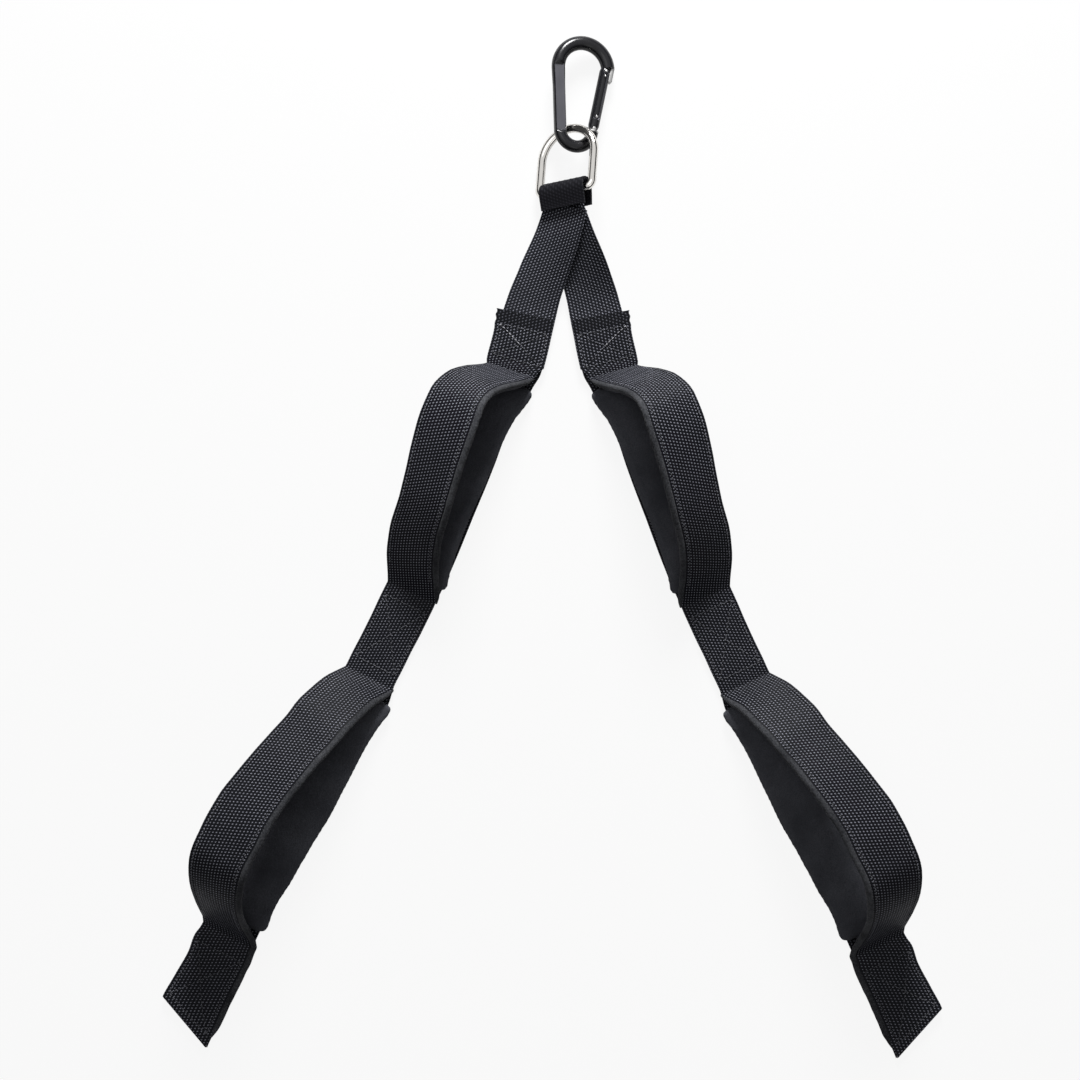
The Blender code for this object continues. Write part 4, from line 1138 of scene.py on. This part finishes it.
def make_pad(name, path, span, width, thickness, lift, material, edges):
    bm = divided_box(PAD_CELLS)
    start, end = span
    for vert in bm.verts:
        across_share, up_share = 2 * vert.co.x, 2 * vert.co.z
        place = start + (vert.co.y + 0.5) * (end - start)
        ends = end_draw(min(place - start, end - place))
        edge = math.sqrt(1 - PAD_EDGE_THINNING * abs(across_share) ** PAD_EDGE_POWER)
        edge = edge + PAD_CROWN * max(0, up_share) * (1 - across_share ** 2)
        inner, outer = edges(place)
        low, high = -width / 2 + inner, width / 2 + outer
        draw = math.sqrt(1 - PAD_FACE_DRAW * up_share ** 4)
        draw = draw * (PAD_END_WIDTHS[0] + PAD_END_WIDTHS[1] * ends)
        across = (low + high) / 2 + across_share * draw * (high - low) / 2
        lump = PAD_LUMP * noise.noise(Vector((place, across_share * 0.01, up_share * 0.02)) * LUMP_SCALE)
        rise = 0.5 + 0.5 * up_share * edge * (PAD_END_HEIGHTS[0] + PAD_END_HEIGHTS[1] * ends)
        origin, _, across_way, normal = path.frame(place)
        vert.co = origin + across_way * across + normal * (lift + thickness * rise + lump)
    return finish_mesh(bm, name, material, sharp_angle=80)


# %% [markdown]
# The back pads are what a palm rests on, and a rounded box looks too even for stuffing.
# So each is blown up a little as cloth: the box becomes an even net of cells, its inside
# gets pressure, and no vertex may go further than a cap. The sewn rows at the ends are
# pressed in after that. The front pads keep the shape they have.

# %% Pads blown up as cloth
VOXEL = 0.0021
SWELL_CAP = 0.0019
SWELL_PRESSURE = 4.0
SWELL_FRAMES = 20
PINCH_PLACES = (0.0062, 0.0095)
PINCH_REACH = 0.0009
PINCH_DEPTH = 0.0011


def evaluated_copy(obj):
    """The object's mesh as its modifiers leave it."""
    graph = bpy.context.evaluated_depsgraph_get()
    mesh = bpy.data.meshes.new_from_object(obj.evaluated_get(graph))
    mesh.name = obj.name
    return mesh


def swell(obj):
    """Blow the piece up as cloth, hold each vertex within the cap, and keep the result."""
    remesh = obj.modifiers.new("even cells", "REMESH")
    remesh.mode = "VOXEL"
    remesh.voxel_size = VOXEL
    even = evaluated_copy(obj)
    obj.modifiers.clear()
    obj.data = even
    rest = [v.co.copy() for v in even.vertices]
    cloth = obj.modifiers.new("padding", "CLOTH")
    cloth.settings.use_pressure = True
    cloth.settings.uniform_pressure_force = SWELL_PRESSURE
    cloth.settings.effector_weights.gravity = 0
    cloth.point_cache.frame_end = SWELL_FRAMES
    scene = bpy.context.scene
    for frame_number in range(1, SWELL_FRAMES + 1):
        scene.frame_set(frame_number)
    blown = evaluated_copy(obj)
    obj.modifiers.clear()
    scene.frame_set(1)
    furthest = 0
    for vert, was in zip(blown.vertices, rest):
        step = vert.co - was
        furthest = max(furthest, step.length)
        vert.co = was + step * min(1.0, SWELL_CAP / max(step.length, 1e-9))
    obj.data = blown
    print(obj.name, "cells", len(rest), "furthest", round(furthest * 1000, 2), "mm")


def press_rows(obj, path, span):
    """Press the sewn rows into the pad's top at both ends."""
    start, end = span
    for vert in obj.data.vertices:
        place = (start + end) / 2
        for _ in range(4):
            origin, along, _, normal = path.frame(place)
            place += (vert.co - origin).dot(along)
        from_end = place - start if place < (start + end) / 2 else end - place
        near = min(abs(from_end - row) for row in PINCH_PLACES)
        height = (vert.co - origin).dot(normal)
        if height > LAYER_PITCH + BACK_PAD_THICKNESS / 2:
            vert.co -= normal * PINCH_DEPTH * math.exp(-(near / PINCH_REACH) ** 2)


def soften(obj):
    bm = bmesh.new()
    bm.from_mesh(obj.data)
    bmesh.ops.smooth_vert(
        bm, verts=bm.verts, factor=0.5, use_axis_x=True, use_axis_y=True, use_axis_z=True
    )
    bm.to_mesh(obj.data)
    bm.free()
    obj.data.shade_smooth()
    rounding = obj.modifiers.new("rounding", "SUBSURF")
    rounding.levels = 1
    rounding.render_levels = 1


def ride_as_pad(pad, body, node):
    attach(pad, body)
    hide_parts(node)


for side in SIDES:
    plan_marks = {name: getattr(side, name) for name in STRETCH_ENDS}
    back_edges = drawn_edges(plan_marks, PAD_INNER, PAD_OUTER)
    front_edges = drawn_edges(side.front_marks, LINING_INNER, LINING_OUTER)
    for loop, first, last in (("upper", "tab_end", "upper_end"), ("lower", "middle_end", "lower_end")):
        body = f"{side.name}_{loop}"
        for marks, shares, front in (
            (plan_marks, BACK_PAD_SHARES[loop], False), (side.front_marks, FRONT_PAD_SHARES[loop], True),
        ):
            span = [marks[first] + share * (marks[last] - marks[first]) for share in shares]
            if front:
                pad = make_pad(
                    body + "_front_cushion", side.front, span, FRONT_PAD_WIDTH, FRONT_PAD_THICKNESS,
                    -LAYER_GAP - FRONT_PAD_THICKNESS, PAD_CLOTH, front_edges,
                )
                ride_as_pad(pad, body, body + "_front_pad")
                continue
            pad = make_pad(
                body + "_back_cushion", side.plan, span, PAD_WIDTH, BACK_PAD_THICKNESS, LAYER_PITCH,
                PAD_CLOTH, back_edges,
            )
            swell(pad)
            press_rows(pad, side.plan, span)
            soften(pad)
            ride_as_pad(pad, body, body + "_back_pad")
print("pads made")

# %% [markdown]
# The lining under each front strap is cut a little wider than the strap, and its felt
# edge rolls up along the inside of the loop. On the lower loop it runs on past the fold
# to the cut end. It is a soft rope of felt: a circle of vertices swept along the edge.

# %% Felt edges
ROLL_SIDES = 12
ROLL_STEP = 0.0016
ROLL_WIDTH = 0.0022
ROLL_HEIGHT = 0.0021
ROLL_OUT = 0.0013
ROLL_DROP = 0.0006
ROLL_TAPER = 0.012
ROLL_END_SIZES = (0.35, 0.65)
ROLL_UNEVENNESS = 0.10
ROLL_UNEVEN_RATE = 160
ROLL_PAST_CUT = 0.002


def swept_tube(rings, closed, sides=ROLL_SIDES):
    """A bmesh of circles joined one to the next. Each ring is (matrix, width, height)."""
    bm = bmesh.new()
    loops = []
    for matrix, width, height in rings:
        made = bmesh.ops.create_circle(
            bm, segments=sides, radius=1, cap_ends=not closed and len(loops) in (0, len(rings) - 1),
            matrix=matrix @ Matrix.Diagonal((width, height, 1, 1)),
        )
        loops.append(made["verts"])
    following = loops[1:] + (loops[:1] if closed else [])
    for one, two in zip(loops, following):
        edges = {e for verts in (one, two) for v in verts for e in v.link_edges if e.other_vert(v) in verts}
        bmesh.ops.bridge_loops(bm, edges=list(edges))
    return bm


def felt_edge(name, side, first, last):
    """The felt roll along the inner edge of a side's front strap."""
    path, marks = side.front, side.front_marks
    edges = drawn_edges(marks, FRONT_INNER, FRONT_OUTER)
    rings = []
    count = math.ceil((last - first) / ROLL_STEP)
    for index in range(count + 1):
        place = first + (last - first) * index / count
        origin, along, across, normal = path.frame(place)
        from_end = min(place - first, last - place)
        taper = math.sin(math.pi / 2 * min(1.0, from_end / ROLL_TAPER))
        size = ROLL_END_SIZES[0] + ROLL_END_SIZES[1] * taper
        size *= 1 + ROLL_UNEVENNESS * noise.noise(Vector((place * ROLL_UNEVEN_RATE, side.sign, 0.3)))
        out = -HALF_WIDTH + edges(place)[0] - ROLL_OUT * size
        centre = origin + across * out + normal * (WEBBING_THICKNESS / 2 - ROLL_DROP)
        matrix = Matrix((across, normal, across.cross(normal))).transposed().to_4x4()
        matrix.translation = centre
        rings.append((matrix, ROLL_WIDTH * size, ROLL_HEIGHT * size))
    return finish_mesh(swept_tube(rings, False), name, LINING_FELT, sharp_angle=180)


for side in SIDES:
    marks = side.front_marks
    upper = marks["upper_end"] - marks["tab_end"]
    first, last = marks["tab_end"] + 0.03 * upper, marks["upper_end"] - 0.02 * upper
    roll = felt_edge(side.name + "_upper_felt_edge", side, first, last)
    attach(roll, side.name + "_upper")
    first, last = marks["middle_end"] + 0.02 * upper, marks["tip"] + ROLL_PAST_CUT
    roll = felt_edge(side.name + "_lower_felt_edge", side, first, last)
    bend_at(roll, side, side.lower_end)
print("felt edges made")

# %% [markdown]
# Thread is laid stitch by stitch, as a row of short rounded grains. Each grain is a
# sphere of twenty faces drawn out along the seam, because a seam has hundreds of them and
# nobody looks closer than a millimetre.

# %% Seams
STITCH_LENGTH = 0.0030
STITCH_GAP_SHARE = 0.16
THREAD_RADIUS = 0.00042
CROSS_THREAD_RADIUS = 0.00045


def sew(name, path, lines, body, edges, thread=THREAD, radius=THREAD_RADIUS):
    bm = bmesh.new()

    def drawn(place, across):
        inner, outer = edges(place)
        drawn_width = WEBBING_WIDTH + outer - inner
        return -HALF_WIDTH + inner + drawn_width * (across + HALF_WIDTH) / WEBBING_WIDTH

    for (p0, a0), (p1, a1) in lines:
        length = math.hypot(p1 - p0, a1 - a0)
        count = max(1, round(length / STITCH_LENGTH))
        for index in range(count):
            share = (index + 0.5) / count
            place = p0 + share * (p1 - p0)
            origin, along, across, normal = path.frame(place)
            way = (along * (p1 - p0) + across * (a1 - a0)).normalized()
            centre = origin + across * drawn(place, a0 + share * (a1 - a0))
            centre += normal * (WEBBING_THICKNESS + YARN_RISE - SEAM_DIP / 2 + radius / 4)
            flat = normal.cross(way).normalized()
            matrix = Matrix((way, flat, normal)).transposed().to_4x4()
            matrix.translation = centre
            half = length / count * (1 - STITCH_GAP_SHARE) / 2
            size = Matrix.Diagonal((half, radius, radius, 1))
            bmesh.ops.create_icosphere(bm, subdivisions=1, radius=1, matrix=matrix @ size)
    seam = finish_mesh(bm, name, thread, sharp_angle=180)
    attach(seam, body)


for side in SIDES:
    edges = drawn_edges(side.front_marks, FRONT_INNER, FRONT_OUTER)
    seams = front_seams(side)
    for body, lines in seams.items():
        sew(f"{side.name}_{body}_seam", side.front, lines, f"{side.name}_{body}", edges)
    # One short line of each tab's cross is sewn in a pale thread, a painted glint.
    near_out, far_in = seams["leg"][-1]
    middle = [(one + other) / 2 for one, other in zip(near_out, far_in)]
    sew(
        f"{side.name}_cross_thread", side.front, [(near_out, middle)], f"{side.name}_leg", edges,
        GLINT_THREAD, CROSS_THREAD_RADIUS,
    )
print("seams sewn")


# %% [markdown]
# The ring is a closed sweep of round wire, chromed. Its arch has been pulled a little to
# one side, so its outline leans away from the bar. The arch still clears the carabiner's
# rod, as a line printed with the rod shows.

# %% Ring wire
WIRE_SIDES = 24
RING_LEAN = 0.0030


def ring_matrix(point, along):
    outward = along.cross(RING_NORMAL).normalized()
    matrix = Matrix((outward, RING_NORMAL, along)).transposed().to_4x4()
    matrix.translation = point
    return matrix


def leaning_ring():
    height = RING_SIDE + RING_HALF_WIDTH
    wire = []
    outline = ring_points()
    for one, two in zip(outline, outline[1:] + outline[:1]):
        steps = round((two - one).length / (WIRE_RADIUS / 2))
        for index in range(steps):
            point = one.lerp(two, index / steps)
            share = point.y / height
            out = point.x + RING_LEAN * share
            wire.append(BAR_CENTRE + BAR_WAY * out + RING_AXIS * point.y)
    return wire


wire = leaning_ring()
rings = []
for index, point in enumerate(wire):
    along = (wire[(index + 1) % len(wire)] - wire[index - 1]).normalized()
    rings.append((ring_matrix(point, along), WIRE_RADIUS, WIRE_RADIUS))
ring = finish_mesh(swept_tube(rings, True, WIRE_SIDES), "ring_wire", CHROME, sharp_angle=180)
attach(ring, "ring")
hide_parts("d_ring")

# %% [markdown]
# The carabiner's frame is one bent rod: a wide arc at the top, a spine, and a tight crook
# that holds the ring. Its place comes from the gate's hinge, which the frame gives, and
# its directions from the same three angles as the solid. All of its pieces are made flat
# in its own plane and then put in place by one matrix.

# %% Carabiner sizes
ROD_RADIUS = 0.0042
BOW_RADIUS = 0.0047
TOP_RADIUS = 0.0180
CROOK_RADIUS = 0.0115
ARC_SPACING = 0.0423
CARABINER_YAW = 3.7
CARABINER_ROLL = -16.0
CARABINER_PITCH = 2.0
PIVOT_HEIGHT = 0.0040
BOW_SHIFT = (0.0017, 0.0011)
NOSE_ANGLE = 9.0
ROD_STEP = 0.0010
ROD_SIDES = 32

yaw, pitch, roll = (math.radians(a) for a in (CARABINER_YAW, CARABINER_PITCH, CARABINER_ROLL))
across = Vector((math.cos(roll), 0, math.sin(roll)))
up_page = Vector((0, math.cos(pitch), -math.sin(pitch)))
normal = across.cross(up_page).normalized()
across = up_page.cross(normal)
x_way = across * math.cos(yaw) - up_page * math.sin(yaw)
y_way = up_page * math.cos(yaw) + across * math.sin(yaw)
TAPER = math.asin((TOP_RADIUS - CROOK_RADIUS) / ARC_SPACING)
SIDE_OUT = Vector((math.cos(TAPER), -math.sin(TAPER), 0))
SIDE_UP = Vector((math.sin(TAPER), math.cos(TAPER), 0))
PIVOT = SIDE_OUT * CROOK_RADIUS + SIDE_UP * PIVOT_HEIGHT
hinges = [joint for joint in frame["record"]["behaviour"]["joints"] if joint["name"] == "gate_hinge"]
CARABINER = Matrix((x_way, y_way, normal)).transposed().to_4x4()
CARABINER.translation = Vector(hinges[0]["pos_m"]) - CARABINER.to_3x3() @ PIVOT


def flat_ring(point, along, width, height):
    """One circle of a sweep in the carabiner's plane."""
    outward = along.cross(UP).normalized()
    matrix = Matrix((outward, UP, along)).transposed().to_4x4()
    matrix.translation = point
    return matrix, width, height


def place_in_hand(obj, body, slot, *nodes):
    """Put a piece that was made flat in the carabiner's place, on its body."""
    obj.data.transform(CARABINER)
    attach(obj, body)
    if nodes:
        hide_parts(*nodes)


# %% [markdown]
# The rod is thicker in the bow than in the spine, and the spine's front and back are
# milled flat, which leaves them greyer than the rest. So the vertices that the milling
# would reach are pressed to one height, and the faces between them take the milled
# finish.

# %% Carabiner frame
FLAT_HEIGHT = 0.0030
FLAT_RANGE = (-0.06, 1.02)
FLAT_FADE = 0.05
SPINE_SQUARENESS = 2.6
HINGE_FACE_DROP = 0.0012
turn = math.degrees(TAPER)
bow_centre = (BOW_SHIFT[0], ARC_SPACING + BOW_SHIFT[1])
line = arc_points(bow_centre, TOP_RADIUS, NOSE_ANGLE, 180 + turn, 60)
line += arc_points((0, 0), CROOK_RADIUS, 180 + turn, 360 - turn, 50)
line.append(PIVOT - SIDE_UP * HINGE_FACE_DROP)
centres = []
for one, two in zip(line, line[1:]):
    steps = max(1, round((two - one).length / ROD_STEP))
    centres += [one.lerp(two, i / steps) for i in range(steps)]
centres.append(line[-1])
nearest = min((CARABINER @ c - w).length for c in centres for w in wire)
print("ring to carabiner", round((nearest - ROD_RADIUS - WIRE_RADIUS) / MILLIMETRE, 2), "mm")

spine_top = Vector((
    bow_centre[0] - TOP_RADIUS * math.cos(TAPER), bow_centre[1] - TOP_RADIUS * math.sin(TAPER), 0
))
spine_low = Vector((-CROOK_RADIUS * math.cos(TAPER), -CROOK_RADIUS * math.sin(TAPER), 0))


def milled_share(point):
    """1 on the milled stretch of the spine, falling to 0 at both of its ends."""
    if point.x > -CROOK_RADIUS / 2:
        return 0
    run = spine_low - spine_top
    share = (point - spine_top).dot(run) / run.length_squared
    low, high = FLAT_RANGE
    return min(1.0, max(0.0, (share - low) / FLAT_FADE + 1), max(0.0, (high - share) / FLAT_FADE + 1))


rings = []
for index, point in enumerate(centres):
    along = (centres[min(index + 1, len(centres) - 1)] - centres[max(index - 1, 0)]).normalized()
    bow = min(1.0, max(0.0, (point.y - ARC_SPACING / 2) / (ARC_SPACING / 2)))
    radius = ROD_RADIUS + (BOW_RADIUS - ROD_RADIUS) * bow * bow * (3 - 2 * bow)
    rings.append(flat_ring(point, along, radius, radius))
bm = swept_tube(rings, False, ROD_SIDES)
spine_way = (spine_top - spine_low).normalized()
spine_out = spine_way.cross(UP)
for vert in bm.verts:
    share = milled_share(vert.co)
    if share > 0:
        from_line = vert.co - spine_low - spine_way * (vert.co - spine_low).dot(spine_way)
        out, up = from_line.dot(spine_out) / ROD_RADIUS, vert.co.z / ROD_RADIUS
        size = (abs(out) ** SPINE_SQUARENESS + abs(up) ** SPINE_SQUARENESS) ** (-1 / SPINE_SQUARENESS)
        growth = 1 + (size - 1) * share if size > 1 else 1
        vert.co += spine_out * out * ROD_RADIUS * (growth - 1) + UP * up * ROD_RADIUS * (growth - 1)
    limit = BOW_RADIUS + (FLAT_HEIGHT - BOW_RADIUS) * share
    if share > 0 and abs(vert.co.z) > limit:
        vert.co.z = math.copysign(limit, vert.co.z)
for face in bm.faces:
    centre = face.calc_center_median()
    milled = milled_share(centre) >= 1 and all(abs(abs(v.co.z) - FLAT_HEIGHT) < 1e-5 for v in face.verts)
    face.material_index = 1 if milled else 0
rod = finish_mesh(bm, "carabiner_rod", ANODISED, sharp_angle=30)
rod.data.materials.append(MILLED)
place_in_hand(rod, "carabiner", "anodised", "carabiner_frame")

# %% [markdown]
# The gate is a straight rod with a groove milled along its front and its back. It turns
# at the crook's end and shuts against the nose. The groove's vertices are pressed down,
# and the faces that cross from high to low become its milled walls.

# %% Gate bar
GATE_RADIUS = 0.0038
GATE_START = 0.0006
GATE_STOP_GAP = 0.0007
GATE_END_SIZES = (0.86, 0.14)
GATE_END_REACH = 0.002
GROOVE_HALF = 0.0015
GROOVE_DEPTH = 0.0011
GROOVE_RANGE = (0.14, 0.93)
NOSE_INSET = 0.0016
nose = line[0]
gate_way = (nose - SIDE_OUT * NOSE_INSET - PIVOT).normalized()
gate_out = gate_way.cross(UP)
gate_length = (nose - PIVOT).dot(gate_way) - GATE_STOP_GAP


def on_gate(outward, up_the_gate):
    return PIVOT + gate_out * outward + gate_way * up_the_gate


rings = []
steps = round((gate_length - GATE_START) / ROD_STEP)
for index in range(steps + 1):
    up = GATE_START + (gate_length - GATE_START) * index / steps
    from_end = min(up - GATE_START, gate_length - up)
    size = GATE_RADIUS * (GATE_END_SIZES[0] + GATE_END_SIZES[1] * min(1.0, from_end / GATE_END_REACH))
    rings.append(flat_ring(on_gate(0, up), gate_way, size, size))
bm = swept_tube(rings, False, ROD_SIDES)
sunk = set()
for vert in bm.verts:
    place = vert.co - PIVOT
    share = (place.dot(gate_way) - GATE_START) / (gate_length - GATE_START)
    in_groove = GROOVE_RANGE[0] < share < GROOVE_RANGE[1]
    if in_groove and abs(place.dot(gate_out)) < GROOVE_HALF:
        vert.co.z -= math.copysign(GROOVE_DEPTH, vert.co.z)
        sunk.add(vert)
for face in bm.faces:
    low = sum(1 for vert in face.verts if vert in sunk)
    face.material_index = 1 if 0 < low < len(face.verts) else 0
gate = finish_mesh(bm, "carabiner_gate_bar", ANODISED, sharp_angle=25)
gate.data.materials.append(MILLED)
place_in_hand(gate, "gate", "anodised", "carabiner_gate")
print("gate bar", round((gate_length - GATE_START) / MILLIMETRE, 1), "mm long")

# %% [markdown]
# The gate turns on a pin through the crook's end, and a second pin at its top drops
# behind the nose hook, which is a small bare plate outside it. Two more pin heads stand
# in the groove. A pin is a cylinder with a bevel at both ends, and the hook is a block
# with its edges bevelled.

# %% Pins and nose hook
PIN_RADIUS = 0.0010
PIN_STAND = 0.0004
PIN_BEVEL_SHARE = 0.35
LATCH_DROPS = (0.0022, 0.0058)
SPRING_PIN_HEIGHT = 0.0085
HOOK_SIZE = (0.0030, 0.0108, 0.0050)
HOOK_OUT = 0.0044
HOOK_BEVEL = 0.0007


def upright_pin(name, place, radius, half_length, body, *nodes):
    bm = bmesh.new()
    bmesh.ops.create_cone(
        bm, cap_ends=True, segments=20, radius1=radius, radius2=radius, depth=2 * half_length,
        matrix=Matrix.Translation(place),
    )
    rims = [e for e in bm.edges if len(e.link_faces) == 2 and any(len(f.verts) > 4 for f in e.link_faces)]
    bmesh.ops.bevel(
        bm, geom=rims, offset=radius * PIN_BEVEL_SHARE, offset_type="OFFSET", segments=3, profile=0.5,
        affect="EDGES", material=-1,
    )
    place_in_hand(finish_mesh(bm, name, PIN_STEEL, sharp_angle=40), body, "pin_steel", *nodes)


upright_pin("pivot_rivet", PIVOT, PIN_RADIUS * 1.2, GATE_RADIUS + PIN_STAND, "carabiner", "gate_pivot_pin")
top_pin = on_gate(0, gate_length - LATCH_DROPS[0])
upright_pin("latch_rivet", top_pin, PIN_RADIUS, GATE_RADIUS + PIN_STAND, "gate", "gate_latch_pin")
low_pin = on_gate(0, gate_length - LATCH_DROPS[1])
upright_pin("groove_rivet", low_pin, PIN_RADIUS * 0.7, GATE_RADIUS + PIN_STAND / 2, "gate")
spring_pin = on_gate(0, SPRING_PIN_HEIGHT)
upright_pin("spring_rivet", spring_pin, PIN_RADIUS * 0.9, GATE_RADIUS + PIN_STAND / 2, "gate")

bm = bmesh.new()
bmesh.ops.create_cube(bm, size=1)
bmesh.ops.scale(bm, verts=bm.verts, vec=HOOK_SIZE)
bmesh.ops.bevel(
    bm, geom=bm.edges[:], offset=HOOK_BEVEL, offset_type="OFFSET", segments=3, profile=0.5,
    affect="EDGES", material=-1,
)
hook_turn = Matrix.Rotation(-math.atan2(gate_way.x, gate_way.y), 4, "Z")
hook_place = on_gate(HOOK_OUT, gate_length - HOOK_SIZE[1] / 2 + ROD_RADIUS / 2)
bmesh.ops.transform(bm, verts=bm.verts, matrix=Matrix.Translation(hook_place) @ hook_turn)
place_in_hand(finish_mesh(bm, "nose_hook_plate", PIN_STEEL, sharp_angle=40), "carabiner", "pin_steel")
print("four pins and the nose hook made")

# %% [markdown]
# The rod's end shows as a thin bright ring where the gate begins, so a short steel collar
# is set over it, with its top edge drawn in.

# %% Collar at the hinge
COLLAR_LENGTH = 0.0010
COLLAR_STEPS = ((-COLLAR_LENGTH, 1.02), (0, 1.02), (0.0002, 0.9))
rings = []
for height, share in COLLAR_STEPS:
    width = ROD_RADIUS * share
    rings.append(flat_ring(line[-1] + SIDE_UP * height, SIDE_UP, width, width))
collar = finish_mesh(swept_tube(rings, False, ROD_SIDES), "hinge_end_face", PIN_STEEL, sharp_angle=30)
place_in_hand(collar, "carabiner", "pin_steel")
print("collar", round(COLLAR_LENGTH / MILLIMETRE, 1), "mm long")

# %% [markdown]
# The spring and its plunger sit inside the gate, where nobody sees them until the gate is
# taken apart. Their solids have the right shapes already, so they stay, in plain steel.

# %% Spring and plunger
for node in ("gate_spring", "gate_plunger"):
    mesh = frame["nodes"][node].data
    mesh.materials.clear()
    mesh.materials.append(PIN_STEEL)
